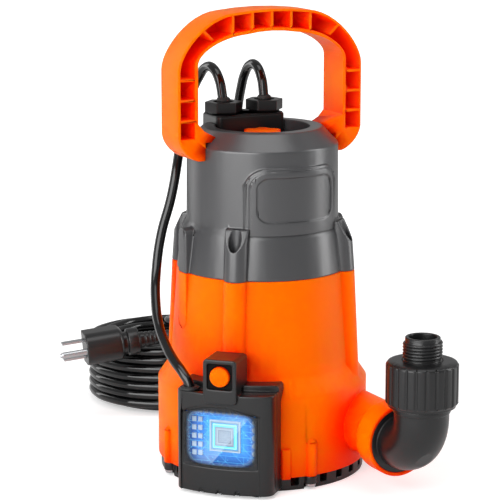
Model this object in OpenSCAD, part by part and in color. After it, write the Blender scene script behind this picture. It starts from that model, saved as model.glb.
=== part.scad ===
// Submersible sump pump with a level sensor box, a swivel outlet and a coiled power cord.
// Millimetres. The floor is z = 0, the pump's axis is Z, and the front faces -Y.

/* [Casing] */
// Diameter of the skirt round the pump chamber
skirt_d = 150; // [146:1:154]
// Height of the skirt's straight wall
skirt_h = 56; // [54:1:58]
// Height of the flare above the skirt
flare_h = 14; // [12:1:16]
// Diameter of the casing above the flare
body_d = 131; // [128:1:134]
// Height of the casing above the flare
body_h = 67; // [62:1:72]
// Diameter where the casing meets the motor cover
joint_d = 122; // [119:1:125]
// Wall thickness of the casing and the cover
wall = 3.2; // [2.8:0.1:3.6]
// Width of a screw pillar on the casing
pillar_w = 17; // [15:0.5:18]

/* [Motor cover] */
// Height of the tapered band above the joint
band_h = 27.5; // [25:0.5:30]
// Diameter at the top of the band
band_d = 115; // [113:1:117]
// Height of the shoulder
shoulder_h = 7.5; // [6:0.5:9]
// Diameter of the upper cylinder
crown_d = 107; // [105:1:109]
// Height of the upper cylinder
crown_h = 53.5; // [51:0.5:56]
// Height of the cone under the rim
cone_h = 11.5; // [10:0.5:13]
// Outer diameter of the rim
rim_d = 85; // [83:1:87]
// Diameter of the cup in the top
cup_d = 67; // [65:0.5:69]
// Depth of the cup
cup_h = 19; // [17:0.5:21]
// How far the front panel stands out
panel_t = 3; // [2:0.25:3.5]

/* [Strainer base] */
// Height of the strainer base
base_h = 9.5; // [8.5:0.5:11]
// Number of slots in each quarter of the strainer
slots = 7; // [5:1:8]
// Width of one strainer slot
slot_w = 6; // [4:0.5:7]

/* [Handle] */
// Height of the handle's top above the floor of the cover's rim
handle_rise = 83; // [78:1:90]
// Width of the handle over its legs
handle_w = 144; // [140:1:148]
// Depth of the handle, front to back
handle_t = 29; // [25:1:32]
// Thickness of the grip and the legs, seen from the front
grip_t = 15; // [13:0.5:17]
// Thickness of the handle's ribs
rib_t = 1.8; // [1.4:0.1:2.4]

/* [Outlet] */
// Height of the outlet above the floor
outlet_z = 38; // [37:0.5:39]
// Distance of the outlet to the right of the pump's axis
outlet_x = 50; // [48:1:51]
// Distance from the pump's axis to the face of the collar
collar_y = 112; // [109:1:116]
// Diameter of the collar
collar_d = 51; // [49:0.5:53]
// Diameter of the elbow's tube
elbow_d = 37.5; // [36:0.5:39]
// Radius of the elbow's bend
bend_r = 24; // [22:0.5:27]
// Height of the union nut
nut_h = 32; // [29:1:35]
// Diameter over the union nut's ribs
nut_d = 49.5; // [48:0.5:52]
// Number of grooves round the union nut
nut_grooves = 22; // [18:1:26]
// Outer diameter of the hose thread
hose_d = 27; // [25:0.5:28]
// Bore of the hose adapter
hose_bore = 19.2; // [17:0.2:20]

/* [Sensor box] */
// Angle of the box from the front of the pump
box_turn = 45; // [43:1:47]
// Width of the box
box_w = 70; // [68:1:76]
// How far the box stands out from the skirt
box_t = 18; // [17:0.5:20]
// Height of the box's top above the floor
box_top = 73.5; // [72:0.5:75]
// Diameter of the mode button
button_d = 14; // [12:0.5:15]
// Travel of the mode button
button_travel = 1.5; // [1:0.1:2]

/* [Motor] */
// Diameter of the impeller
impeller_d = 76; // [70:1:80]
// Number of impeller blades
blades = 6; // [4:1:8]
// Diameter of the shaft
shaft_d = 10; // [9:0.5:11]
// Diameter of the rotor
rotor_d = 47; // [44:1:50]
// Length of the stator
stator_h = 50; // [44:1:56]
// Outer diameter of the stator
stator_d = 92; // [88:1:94]

/* [Cords and plug] */
// Diameter of both cords
cord_d = 7; // [6.6:0.1:7.2]
// Number of layers in the coil
coil_layers = 7; // [5:1:8]
// Radius of the coil's outermost turn
coil_r = 60; // [56:1:62]

/* [Hidden] */

$fn = 96;
eps = 0.01;
// Gap between two pieces that fit but don't turn in each other
fit_gap = 0.1;
// Gap on every side of a piece that turns or slides
run_gap = 0.4;
// Radial gap between the shaft and its bearings
shaft_gap = 0.04;

// Levels, from the floor up
z_skirt = base_h + skirt_h;
z_flare = z_skirt + flare_h;
z_joint = z_flare + body_h;
z_band = z_joint + band_h;
z_crown = z_band + shoulder_h;
z_cone = z_crown + crown_h;
z_rim = z_cone + cone_h;
z_cup = z_rim - cup_h;
skirt_r = skirt_d / 2;
body_r = body_d / 2;
joint_r = joint_d / 2;
band_r = band_d / 2;
crown_r = crown_d / 2;
base_r = skirt_r - 2;

orange = "#ff6a0d";
grey = "#616365";
dark = "#3a3a3c";
black = "#1b1b1c";
steel = "#b9bcc0";
brass = "#c9a35a";

// ---- shared shapes ----

module tube(ro, ri, h) {
    difference() {
        cylinder(r = ro, h = h);
        translate([0, 0, -1]) cylinder(r = ri, h = h + 2);
    }
}

module at_angles(angles, r = 0) {
    for (a = angles) rotate([0, 0, a]) translate([r, 0, 0]) children();
}

module rounded(w, h, r) {
    hull_r = min(r, w / 2, h / 2);
    difference() {
        translate([-w / 2, 0]) square([w, h]);
        for (sx = [-1, 1], sz = [0, 1]) translate([sx * w / 2, sz * h]) mirror([sx > 0 ? 1 : 0, 0])
            mirror([0, sz]) difference() {
                translate([-1, -1]) square(hull_r + 1);
                translate([hull_r, hull_r]) circle(hull_r, $fn = 32);
            }
    }
}

// A rectangle with only its upper corners rounded
module arched(w, h, r) {
    difference() {
        translate([-w / 2, 0]) square([w, h]);
        for (s = [0, 1]) mirror([s, 0]) translate([-w / 2, h]) mirror([0, 1]) difference() {
            translate([-1, -1]) square(r + 1);
            translate([r, r]) circle(r, $fn = 32);
        }
    }
}

// Stands a flat outline up, so that its y becomes z, between two y planes
module upright(y_from, y_to) {
    translate([0, y_to, 0]) rotate([90, 0, 0]) linear_extrude(y_to - y_from) children();
}

module pan_screw(head_r, head_h, shank_r, length) {
    cylinder(r = head_r, h = head_h);
    translate([0, 0, -length]) cylinder(r = shank_r, h = length + head_h / 2);
}

// ---- casing and cover outlines ----

pillar_angles = [45, 135, 225, 315];
pillar_r = pillar_w / 2;
// Distance of a pillar's axis from the wall it stands on
pillar_out = 2.2;
pillar_top_z = z_crown + 0.5;

// A pillar from z_from to z_to on a wall that leans from r0 at z0 to r1 at z1
module pillar(r0, z0, r1, z1, z_from, z_to) {
    lean = atan((r0 - r1) / (z1 - z0));
    translate([r0 - pillar_out + (z0 - z_from) * tan(lean), 0, z_from]) rotate([0, -lean, 0])
        linear_extrude((z_to - z_from) / cos(lean)) {
            circle(pillar_r);
            translate([-14, -pillar_r]) square([14, pillar_w]);
        }
}

module casing_outside(grow = 0) {
    difference() {
        union() {
            rotate_extrude($fn = 144) polygon([[0, base_h], [skirt_r + grow, base_h],
                [skirt_r + grow, z_skirt], [body_r + grow, z_flare], [joint_r + grow, z_joint],
                [joint_r + grow, z_joint + 3], [0, z_joint + 3]]);
            at_angles(pillar_angles) pillar(body_r - 0.4 + grow, z_flare, joint_r + 0.7 + grow, z_joint,
                z_skirt - 4, z_joint + 2);
        }
        translate([-100, -100, z_joint]) cube(200);
    }
}

rib_r = (body_r + joint_r) / 2 + 0.4;
rib_w = 12;
rib_low = z_flare + 0.41 * body_h;

// The flat rib under each foot of the handle
module side_rib() {
    intersection() {
        cylinder(r = rib_r, h = z_rim);
        rotate([0, 0, 90]) upright(-rib_r - 1, -band_r + 6) translate([0, rib_low])
            rounded(rib_w, z_crown - 3 - rib_low, rib_w / 2);
    }
}

// ---- pump chamber ----

// The scroll that collects the water, wider all the way round to the outlet
chamber_low = outlet_z - 16;
chamber_high = outlet_z + 16;
outlet_r = 15.6;
duct_r = outlet_r + 0.4;
scroll_small = 46;
scroll_start = -45;
function scroll_r(k) = scroll_small + (outlet_x + duct_r - scroll_small) * k;
scroll_steps = 36;
function scroll(grow = 0) = [for (i = [0:scroll_steps])
    let (a = scroll_start - (360 + scroll_start) * i / scroll_steps, r = scroll_r(i / scroll_steps) + grow)
    [r * cos(a), r * sin(a)]];
module scroll_shape(grow = 0, limit = skirt_r - wall - 2.5) {
    intersection() {
        union() {
            polygon(scroll(grow));
            translate([outlet_x - duct_r - grow, -skirt_r]) square([2 * (duct_r + grow), skirt_r]);
        }
        circle(limit + grow, $fn = 144);
    }
}

volute_wall = 3;
seal_r = 52;
seal_z = chamber_high + volute_wall;
motor_r = 56;

plate_screw_angles = [20, 95, 160, 222];
function plate_screw_r(a) = scroll_r((360 - a + scroll_start) / (360 + scroll_start)) + 3.2;

// ---- strainer base ----

lug_angles = [0, 90, 180, 270];
lug_r = 4.5;
lug_out = skirt_r - 1.5;
strainer_floor = 2.5;
slot_pitch = 12;

module base_lug(z_low, z_high) {
    translate([lug_out, 0, z_low]) linear_extrude(z_high - z_low) {
        circle(lug_r, $fn = 48);
        translate([-5, -lug_r]) square([5, 2 * lug_r]);
    }
}

module strainer_base() {
    color(dark) difference() {
        union() {
            cylinder(r = base_r, h = base_h, $fn = 144);
            at_angles(lug_angles) base_lug(4, base_h);
        }
        translate([0, 0, strainer_floor]) cylinder(r = base_r - 9, h = base_h, $fn = 144);
        for (q = lug_angles, i = [0:slots - 1])
            rotate([0, 0, q + 45 + (i - (slots - 1) / 2) * slot_pitch])
                translate([base_r - 13, -slot_w / 2, strainer_floor + 0.8]) cube([20, slot_w, base_h]);
        at_angles(lug_angles, lug_out) {
            translate([0, 0, -1]) cylinder(r = 2.2, h = base_h + 2, $fn = 32);
            translate([0, 0, -1]) cylinder(r = 4.4, h = 5, $fn = 32);
        }
    }
}

module base_screws() {
    color(steel) at_angles(lug_angles, lug_out) translate([0, 0, 4]) mirror([0, 0, 1])
        pan_screw(3.8, 2.6, 1.9, 18);
}

// ---- suction plate ----

module suction_plate() {
    color(black) translate([0, 0, chamber_low - volute_wall]) difference() {
        union() {
            linear_extrude(volute_wall) intersection() {
                union() {
                    scroll_shape(volute_wall);
                    for (a = plate_screw_angles) rotate([0, 0, a]) translate([plate_screw_r(a), 0])
                        circle(5, $fn = 40);
                }
                circle(skirt_r - wall - run_gap, $fn = 144);
            }
            translate([0, 0, -4]) cylinder(r = 22, h = 5);
        }
        translate([0, 0, -6]) cylinder(r = 18, h = 12);
        for (a = plate_screw_angles) rotate([0, 0, a]) translate([plate_screw_r(a), 0, -1])
            cylinder(r = 2.1, h = 6, $fn = 32);
    }
}

module suction_screws() {
    color(steel) for (a = plate_screw_angles) rotate([0, 0, a])
        translate([plate_screw_r(a), 0, chamber_low - volute_wall]) mirror([0, 0, 1])
            pan_screw(3.6, 2.4, 1.8, 14);
}

// ---- pump casing ----

neck_d = 42;
collar_len = 18;
collar_in = collar_d / 2 - 2.6;

module along_outlet(y_from, y_to) {
    translate([outlet_x, -y_from, outlet_z]) rotate([90, 0, 0]) linear_extrude(y_to - y_from) children();
}

module casing_solid() {
    casing_outside();
    for (s = [0, 180]) rotate([0, 0, s]) intersection() {
        side_rib();
        cylinder(r = skirt_r, h = z_joint);
    }
    at_angles(lug_angles) base_lug(base_h, base_h + 24);
    at_angles(lug_angles) translate([lug_out, 0, base_h + 23.9])
        cylinder(r1 = lug_r - 0.05, r2 = lug_r - 3, h = 3.6, $fn = 48);
    // the neck and the collar of the outlet
    along_outlet(20, collar_y - 2) circle(neck_d / 2);
    translate([outlet_x, -collar_y, outlet_z]) rotate([-90, 0, 0]) rotate_extrude() polygon(concat([[0, 0],
        [collar_d / 2 - 1, 0], [collar_d / 2, 1], [collar_d / 2, collar_len - 3]],
        bezier([collar_d / 2 - 0.1, collar_len - 1], [collar_d / 2 - 0.6, collar_len + 3],
            [neck_d / 2 + 0.3, collar_len + 3], [neck_d / 2, collar_len + 9], 6),
        [[0, collar_len + 9]]));
}

module pump_casing() {
    color(orange) difference() {
        union() {
            difference() {
                casing_solid();
                // the space between the skirt and the volute, open to the strainer
                rotate_extrude($fn = 144) polygon([[0, base_h - 1], [skirt_r - wall, base_h - 1],
                    [skirt_r - wall, z_skirt - 1], [skirt_r - wall - 4, z_skirt + 3],
                    [motor_r + 2, z_skirt + 3], [motor_r + 2, seal_z + 4], [0, seal_z + 4]]);
            }
            translate([0, 0, chamber_low]) linear_extrude(seal_z + 5 - chamber_low) {
                scroll_shape(volute_wall);
                for (a = plate_screw_angles) rotate([0, 0, a]) translate([plate_screw_r(a), 0])
                    circle(5, $fn = 40);
            }
            translate([0, 0, chamber_high - 4]) cylinder(r = motor_r + 2.7, h = z_skirt + 8 - chamber_high);
            intersection() {
                along_outlet(15, collar_y - collar_len) circle(neck_d / 2);
                translate([0, -collar_y, chamber_low]) cube([skirt_d, collar_y, neck_d]);
            }
            at_angles(lug_angles, lug_out) translate([0, 0, base_h]) cylinder(r = lug_r, h = 16, $fn = 48);
        }
        // the pump chamber and the way out
        translate([0, 0, chamber_low - 1]) linear_extrude(chamber_high - chamber_low + 1) scroll_shape();
        along_outlet(outlet_r, collar_y + 1) circle(outlet_r);
        along_outlet(collar_y - collar_len + 4, collar_y + 1) circle(collar_in);
        // the seat of the seal plate and the motor's chamber
        translate([0, 0, chamber_high - 1]) cylinder(r = seal_r - 4, h = 20);
        translate([0, 0, seal_z]) cylinder(r = motor_r, h = z_flare - seal_z);
        rotate_extrude($fn = 144) polygon([[0, z_flare - eps], [motor_r, z_flare - eps],
            [body_r - wall, z_flare + 6], [joint_r - wall - 4, z_joint - 12],
            [joint_r - wall - 4, z_joint + 1], [0, z_joint + 1]]);
        // holes for the screws
        at_angles(pillar_angles, screw_r) translate([0, 0, z_joint - 24]) cylinder(r = 2, h = 30, $fn = 32);
        at_angles(lug_angles, lug_out) translate([0, 0, base_h - 1]) cylinder(r = 1.9, h = 15, $fn = 32);
        for (a = plate_screw_angles) rotate([0, 0, a]) translate([plate_screw_r(a), 0, chamber_low - 1])
            cylinder(r = 1.8, h = 13, $fn = 32);
        on_box_screws() translate([0, 0, -12]) cylinder(r = 1.7, h = 20, $fn = 32);
        // the groove of the ring that seals the joint
        translate([0, 0, z_joint - oring_t]) tube(oring_r + oring_t / 2, oring_r - oring_t / 2, oring_t + 1);
    }
}

oring_t = 2.4;
oring_r = joint_r - wall - 1.2;
screw_r = joint_r + 0.6;

module casing_oring() {
    color(black) translate([0, 0, z_joint - oring_t / 2]) rotate_extrude()
        translate([oring_r, 0]) circle(oring_t / 2, $fn = 24);
}

// ---- rotating parts ----

impeller_low = chamber_low + 1.5;
impeller_h = 22;
disc_t = 3;
hub_r = 9;

// One backward-curved blade, as the strip between two arcs
module blade() {
    blade_t = 2.6;
    tip = impeller_d / 2 - 0.5;
    arc_r = impeller_d * 0.42;
    intersection() {
        translate([0, arc_r, 0]) difference() {
            circle(arc_r + blade_t / 2, $fn = 96);
            circle(arc_r - blade_t / 2, $fn = 96);
        }
        difference() {
            circle(tip);
            circle(hub_r - 1);
        }
        translate([0, -5, 0]) square([tip, tip + 5]);
    }
}

module impeller() {
    color(black) translate([0, 0, impeller_low]) difference() {
        union() {
            translate([0, 0, impeller_h - disc_t]) cylinder(r = impeller_d / 2, h = disc_t);
            linear_extrude(impeller_h - disc_t + eps) for (i = [0:blades - 1])
                rotate([0, 0, i * 360 / blades]) blade();
            translate([0, 0, 6]) cylinder(r = hub_r, h = impeller_h - 6);
        }
        translate([0, 0, -1]) cylinder(r = shaft_d / 2 - 1.5, h = impeller_h + 2);
        translate([0, 0, 12]) cylinder(r = shaft_d / 2, h = impeller_h);
    }
}

module impeller_nut() {
    color(brass) translate([0, 0, impeller_low]) difference() {
        cylinder(r = 6.4, h = 6, $fn = 6);
        translate([0, 0, -1]) cylinder(r = 2.8, h = 9, $fn = 32);
    }
}

seal_plate_t = 6;
bearing_or = 15;
bearing_h = 9;
sleeve_wall = 2;
z_motor = seal_z + seal_plate_t;
z_bracket = z_band - 8;
bracket_t = 4;
stator_low = z_motor + 30;
shaft_top = z_bracket + bracket_t + bearing_h + 3;

module motor_shaft() {
    color(steel) {
        translate([0, 0, impeller_low + 1]) cylinder(r = 2.8, h = 7, $fn = 32);
        translate([0, 0, impeller_low + 6]) cylinder(r = shaft_d / 2 - 1.5, h = 8);
        translate([0, 0, impeller_low + 12]) cylinder(r = shaft_d / 2, h = shaft_top - impeller_low - 12);
    }
}

module motor_rotor() {
    color("#8d8f92") translate([0, 0, stator_low]) difference() {
        union() {
            cylinder(r = rotor_d / 2, h = stator_h);
            translate([0, 0, -4]) tube(rotor_d / 2 - 1, rotor_d / 2 - 7, stator_h + 8);
        }
        translate([0, 0, -9]) cylinder(r = shaft_d / 2, h = stator_h + 20);
    }
}

module shaft_seal() {
    z_low = impeller_low + impeller_h + run_gap;
    color("#54463c") translate([0, 0, z_low])
        tube(11, shaft_d / 2 + run_gap, seal_z + 1 - z_low);
}

module seal_plate() {
    color("#8a8d90") difference() {
        union() {
            translate([0, 0, seal_z]) cylinder(r = motor_r - fit_gap, h = seal_plate_t);
            translate([0, 0, z_motor - eps]) cylinder(r = bearing_or + 4, h = bearing_h);
        }
        translate([0, 0, seal_z + 3]) cylinder(r = bearing_or, h = 30);
        translate([0, 0, seal_z - 1]) cylinder(r = shaft_d / 2 + 2, h = 30);
        translate([0, 0, seal_z - 1]) cylinder(r = 11 + fit_gap, h = 2);
        at_angles(pillar_angles, bolt_r) translate([0, 0, seal_z + 1]) cylinder(r = 1.5, h = 9, $fn = 24);
    }
}

bolt_r = stator_d / 2 + sleeve_wall + 2.6;

module bearing() {
    difference() {
        cylinder(r = bearing_or - fit_gap / 2, h = bearing_h);
        translate([0, 0, -1]) cylinder(r = shaft_d / 2 + shaft_gap, h = bearing_h + 2);
        for (z = [-1, bearing_h - 1]) translate([0, 0, z]) tube(bearing_or - 3, shaft_d / 2 + 3, 2);
    }
}

module lower_bearing() {
    color(steel) translate([0, 0, seal_z + 3]) bearing();
}

module upper_bearing() {
    color(steel) translate([0, 0, z_bracket + bracket_t]) bearing();
}

module motor_sleeve() {
    color("#a4a7ab") translate([0, 0, z_motor])
        tube(stator_d / 2 + sleeve_wall, stator_d / 2, z_bracket - z_motor);
}

module motor_stator() {
    slot_r = rotor_d / 2 + 5;
    color("#77797c") translate([0, 0, stator_low]) difference() {
        cylinder(r = stator_d / 2, h = stator_h);
        translate([0, 0, -1]) cylinder(r = rotor_d / 2 + 0.5, h = stator_h + 2);
        for (a = [0:30:359]) rotate([0, 0, a]) translate([slot_r + 4, 0, -1]) {
            cylinder(r = 4, h = stator_h + 2, $fn = 24);
            translate([-9, -0.8, 0]) cube([8, 1.6, stator_h + 2]);
        }
    }
}

module winding_head(h) {
    rotate_extrude() translate([(rotor_d + stator_d) / 4 + 0.5, 0]) {
        translate([0, h / 2 + 3]) circle(8, $fn = 24);
        translate([-8, 0]) square([16, h / 2 + 3]);
    }
}

module stator_windings() {
    slot_r = rotor_d / 2 + 5;
    color("#b4622d") {
        translate([0, 0, stator_low + stator_h]) winding_head(10);
        translate([0, 0, stator_low]) mirror([0, 0, 1]) winding_head(10);
        for (a = [0:30:359]) rotate([0, 0, a]) translate([slot_r + 4, 0, stator_low - 1])
            cylinder(r = 3.8, h = stator_h + 2, $fn = 24);
    }
}

module upper_bracket() {
    color("#8a8d90") difference() {
        union() {
            translate([0, 0, z_bracket]) cylinder(r = bolt_r + 2.8, h = bracket_t);
            translate([0, 0, z_bracket + bracket_t - eps]) cylinder(r = bearing_or + 3, h = bearing_h);
        }
        translate([0, 0, z_bracket + bracket_t]) cylinder(r = bearing_or, h = 30);
        translate([0, 0, z_bracket - 1]) cylinder(r = shaft_d / 2 + 2, h = 30);
        at_angles(pillar_angles, bolt_r) translate([0, 0, z_bracket - 1]) cylinder(r = 1.7, h = 9, $fn = 24);
    }
}

module tie_bolts() {
    color(steel) at_angles(pillar_angles, bolt_r) translate([0, 0, z_bracket + bracket_t])
        pan_screw(2.7, 2.4, 1.5, z_bracket + bracket_t - seal_z - 1.5);
}

cap_r = 13;
module run_capacitor() {
    color("#d9d9d4") rotate([0, 0, 180]) translate([bearing_or + 4 + cap_r, 0, z_bracket + bracket_t]) {
        cylinder(r = cap_r, h = 36);
        for (s = [-1, 1]) translate([-0.4, s * 4 - 2.5, 35]) cube([0.8, 5, 5]);
    }
}

module terminal_block() {
    color("#e6e2d8") translate([bearing_or + 6, -14, z_bracket + bracket_t]) difference() {
        cube([14, 28, 12]);
        for (i = [0:2]) translate([7, 5 + 9 * i, 4]) cylinder(r = 2.6, h = 12, $fn = 24);
    }
}

// ---- motor cover ----

panel_r = crown_r + panel_t;
panel_w = 2 * panel_r * sin(39);
panel_low = z_band + 3;
panel_top = z_crown + 42.5;
recess_w = 2 * panel_r * sin(31);
screw_seat = z_joint + 12;

module front_panel() {
    edge = 2.2;
    intersection() {
        cylinder(r = panel_r - 1.2, h = z_rim, $fn = 144);
        upright(-panel_r - 1, -20) translate([0, panel_low]) arched(panel_w, panel_top - panel_low, 14);
    }
    intersection() {
        cylinder(r = panel_r, h = z_rim, $fn = 144);
        upright(-panel_r - 1, -20) translate([0, panel_low])
            arched(panel_w - 2 * edge, panel_top - panel_low - edge, 14 - edge);
    }
}

module cover_outside() {
    rotate_extrude($fn = 144) polygon([[0, z_joint], [joint_r, z_joint], [band_r, z_band],
        [crown_r + 0.5, z_crown], [crown_r, z_cone], [rim_d / 2, z_rim], [0, z_rim]]);
    intersection() {
        at_angles(pillar_angles) pillar(joint_r + 0.7, z_joint, band_r + 1, z_crown + 6, z_joint - 2, z_crown + 6);
        rotate_extrude() polygon([[0, z_joint], [90, z_joint], [90, z_band - 12],
            [joint_r + 8, z_band - 12], [band_r + 1, pillar_top_z], [0, pillar_top_z]]);
    }
    for (s = [0, 180]) rotate([0, 0, s]) difference() {
        side_rib();
        cylinder(r = 90, h = z_joint);
    }
    front_panel();
}

gland_x = 16.3;
gland_y = 29;
block_w = 54;
block_y0 = 16;
block_y1 = 43.5;
block_top = z_rim + 6;
vent_boss_h = 6;

module block_plan() {
    translate([0, block_y0]) rounded(block_w, block_y1 - block_y0, 4);
}

module motor_cover() {
    chamber_top = z_cup - wall;
    color(grey) difference() {
        union() {
            difference() {
                cover_outside();
                translate([0, 0, z_cup]) cylinder(r1 = cup_d / 2 - 0.6, r2 = cup_d / 2, h = cup_h + eps);
            }
            translate([0, 0, z_cup - 1]) cylinder(r = 12, h = vent_boss_h + 1);
        }
        translate([0, 0, z_cup]) linear_extrude(40) block_plan();
        // the motor's chamber
        rotate_extrude($fn = 144) polygon([[0, z_joint - 1], [joint_r - wall - 4, z_joint - 1],
            [joint_r - wall - 4, z_joint + 8], [band_r - wall, z_band - 3], [crown_r - wall, z_crown - 3],
            [crown_r - wall, chamber_top], [0, chamber_top]]);
        // the hollow round the cup, with room for the handle's screws
        difference() {
            rotate_extrude($fn = 144) polygon([[cup_d / 2 + wall, chamber_top - 1], [crown_r - wall,
                chamber_top - 1], [crown_r - wall, z_cone + 1], [crown_r - wall - 1, z_cone + 2],
                [cup_d / 2 + wall, z_cone + 2]]);
            translate([-block_w / 2 - wall, block_y0 - wall, chamber_top])
                cube([block_w + 2 * wall, 60, 40]);
        }
        // the recess in the front panel
        intersection() {
            tube(panel_r + 5, panel_r - 1, z_rim);
            upright(-panel_r - 6, -20) translate([0, z_crown + 5]) rounded(recess_w, 31, 8);
        }
        // holes for the screws, the vent and the cords
        at_angles(pillar_angles, screw_r) {
            translate([0, 0, screw_seat]) cylinder(r = 4.3, h = 60, $fn = 40);
            translate([0, 0, z_joint - 1]) cylinder(r = 2.3, h = 30, $fn = 32);
        }
        translate([0, 0, chamber_top - 1]) cylinder(r = 8, h = 40);
        for (s = [-1, 1]) translate([s * gland_x, gland_y, chamber_top - 1])
            cylinder(r = 5, h = 8, $fn = 40);
        handle_screw_places() cylinder(r = 2.1, h = 20, center = true, $fn = 32);
    }
}

module cover_screws() {
    color(steel) at_angles(pillar_angles, screw_r) translate([0, 0, screw_seat])
        pan_screw(3.9, 3, 2, screw_seat - z_joint + 20);
}

// ---- vent plug and cable glands ----

vent_z = z_cup + vent_boss_h;
vent_d = 27.5;
vent_gap = 1.6;

module vent_plug() {
    color(orange) {
        difference() {
            translate([0, 0, vent_z + vent_gap]) cylinder(r = vent_d / 2, h = 8);
            for (a = [0:60:359]) rotate([0, 0, a - 27]) translate([vent_d / 2 + 3, 0, vent_z + vent_gap + 1.5])
                cylinder(r = 5.5, h = 10, $fn = 40);
        }
        translate([0, 0, z_cup - wall - 2]) cylinder(r = 8 - fit_gap, h = vent_z - z_cup + wall + 4);
    }
}

module vent_plug_seal() {
    color(black) translate([0, 0, vent_z]) tube(11.5, 8, vent_gap);
}

module at_glands(side) {
    translate([side * gland_x, gland_y, 0]) children();
}

seal_low = z_cup + 8;
gland_neck_r = 9.5;
gland_h = 8.5;
gland_af = 23.6;

module gland_block() {
    color(dark) difference() {
        union() {
            translate([0, 0, z_cup]) linear_extrude(block_top - 1 - z_cup) block_plan();
            translate([0, block_y0 + 1, block_top - 1 - eps]) linear_extrude(1 + eps)
                rounded(block_w - 2, block_y1 - block_y0 - 2, 3);
        }
        for (s = [-1, 1]) at_glands(s) {
            translate([0, 0, seal_low]) cylinder(r = 7.2, h = 40);
            translate([0, 0, block_top - 9]) cylinder(r = gland_neck_r, h = 20);
            translate([0, 0, z_cup - 1]) cylinder(r = 4.2, h = 40, $fn = 40);
        }
    }
}

module gland_nut() {
    difference() {
        union() {
            translate([0, 0, block_top - 8]) cylinder(r = gland_neck_r - fit_gap, h = 10);
            translate([0, 0, block_top]) cylinder(r = gland_af / 2 - 0.8, h = 1 + eps);
            translate([0, 0, block_top + 1]) rotate([0, 0, 43])
                cylinder(r = gland_af / 2 / cos(30), h = gland_h - 1, $fn = 6);
        }
        translate([0, 0, block_top - 9]) cylinder(r = 7.4, h = 30);
    }
}

module power_gland_nut() {
    color(dark) at_glands(1) gland_nut();
}

module sensor_gland_nut() {
    color(dark) at_glands(-1) gland_nut();
}

// The rubber seal that grips the cord and tapers towards the mouth of the nut
module cord_seal() {
    difference() {
        translate([0, 0, seal_low]) {
            cylinder(r = 7, h = 8);
            translate([0, 0, 8 - eps]) cylinder(r1 = 7, r2 = 4.6, h = block_top + gland_h - seal_low - 8);
        }
        translate([0, 0, seal_low - 1]) cylinder(r = cord_d / 2 - 0.1, h = 60, $fn = 40);
    }
}

module power_cord_seal() {
    color(black) at_glands(1) cord_seal();
}

module sensor_cord_seal() {
    color(black) at_glands(-1) cord_seal();
}

// ---- handle ----

handle_top = z_rim + handle_rise;
leg_out = handle_w / 2;
leg_in = leg_out - grip_t;
foot_top = z_rim - 4;
foot_low = z_rim - 20;
bow = 1.7;

function bezier(a, b, c, d, n) = [for (i = [0:n]) let (t = i / n, s = 1 - t)
    s * s * s * a + 3 * s * s * t * b + 3 * s * t * t * c + t * t * t * d];

// Right half of an arch's outline, from its foot at z_low to the middle of the grip.
// inset moves it in from the outside of the handle.
function arch(inset, z_low) = let (x = leg_out - inset, z = handle_top - inset,
        sweep = (leg_out - 0.6 * inset) / leg_out)
    concat([[x, z_low]],
        bezier([x, handle_top - 41 + inset * 0.3], [x, handle_top - 28], [x - 20 * sweep, z - 3],
            [x - 43 * sweep, z - bow], 12),
        [[(x - 43 * sweep) / 2, z - bow / 4], [0, z]]);

function flipped(points) = [for (p = points) [-p[0], p[1]]];
function backwards(points) = [for (i = [len(points) - 1:-1:0]) if (points[i][0] > 0.01) points[i]];

module arch_shape(inset, z_low) {
    half = arch(inset, z_low);
    polygon(concat(half, flipped(backwards(half))));
}

cell_out = 1.6;
cell_in = 2.4;
back_wall = 3;

// The foot's outline, from the nose on the cone down and out to the leg
foot = concat([[rim_d / 2 + 10, z_rim + 1], [rim_d / 2, z_rim - 4.5], [rim_d / 2, z_cone - 1],
    [crown_r - 6, z_cone - 1], [crown_r - 6, foot_low]],
    bezier([crown_r + 3, foot_low], [crown_r + 8, foot_low + 1], [leg_out - 1, foot_top - 8],
        [leg_out, foot_top + 1], 8));

module handle_outline() {
    outer = concat(foot, arch(0, foot_top + 6));
    inner = arch(grip_t, z_rim + 6);
    polygon(concat(outer, flipped(backwards(outer)), flipped(inner), backwards(inner)));
}

// What the ribs leave open, seen from the front
module handle_cells() {
    difference() {
        difference() {
            arch_shape(cell_out, foot_top);
            arch_shape(grip_t - cell_in, foot_top - 1);
        }
        for (x = [-30.2, -15.1, 0, 15.1, 30.2])
            translate([x - rib_t / 2, handle_top - grip_t - 6]) square([rib_t, 30]);
        for (s = [0, 1]) mirror([s, 0]) {
            for (i = [0:2]) translate([leg_in - 2, foot_top + 11.5 + 14.2 * i]) square([grip_t + 4, rib_t]);
            translate([leg_in - 1, handle_top - grip_t + 5]) rotate([0, 0, 43])
                translate([-14, -rib_t / 2]) square([30, rib_t]);
        }
    }
}

module carry_handle() {
    color(orange) difference() {
        upright(-handle_t / 2, handle_t / 2) handle_outline();
        upright(-handle_t / 2 - 1, handle_t / 2 - back_wall) handle_cells();
        // the feet fit the wall and the cone of the cover
        rotate_extrude($fn = 144) polygon([[0, 0], [crown_r + 0.6, 0], [crown_r + 0.6, z_crown],
            [crown_r + fit_gap, z_cone + 0.04], [rim_d / 2 + fit_gap, z_rim + 0.04], [0, z_rim + 0.04]]);
        // the notch between the foot and the nose that hooks over the cone
        for (s = [0, 1]) mirror([s, 0, 0]) translate([crown_r - 9, -50, z_cone + 1]) cube([7, 100, 3.5]);
        handle_screw_places() cylinder(r = 1.6, h = 24, center = true, $fn = 32);
    }
}

module handle_screw_places() {
    for (s = [0, 180], y = [-7, 7]) rotate([0, 0, s])
        translate([crown_r, y, foot_low + 6]) rotate([0, 90, 0]) children();
}

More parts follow.
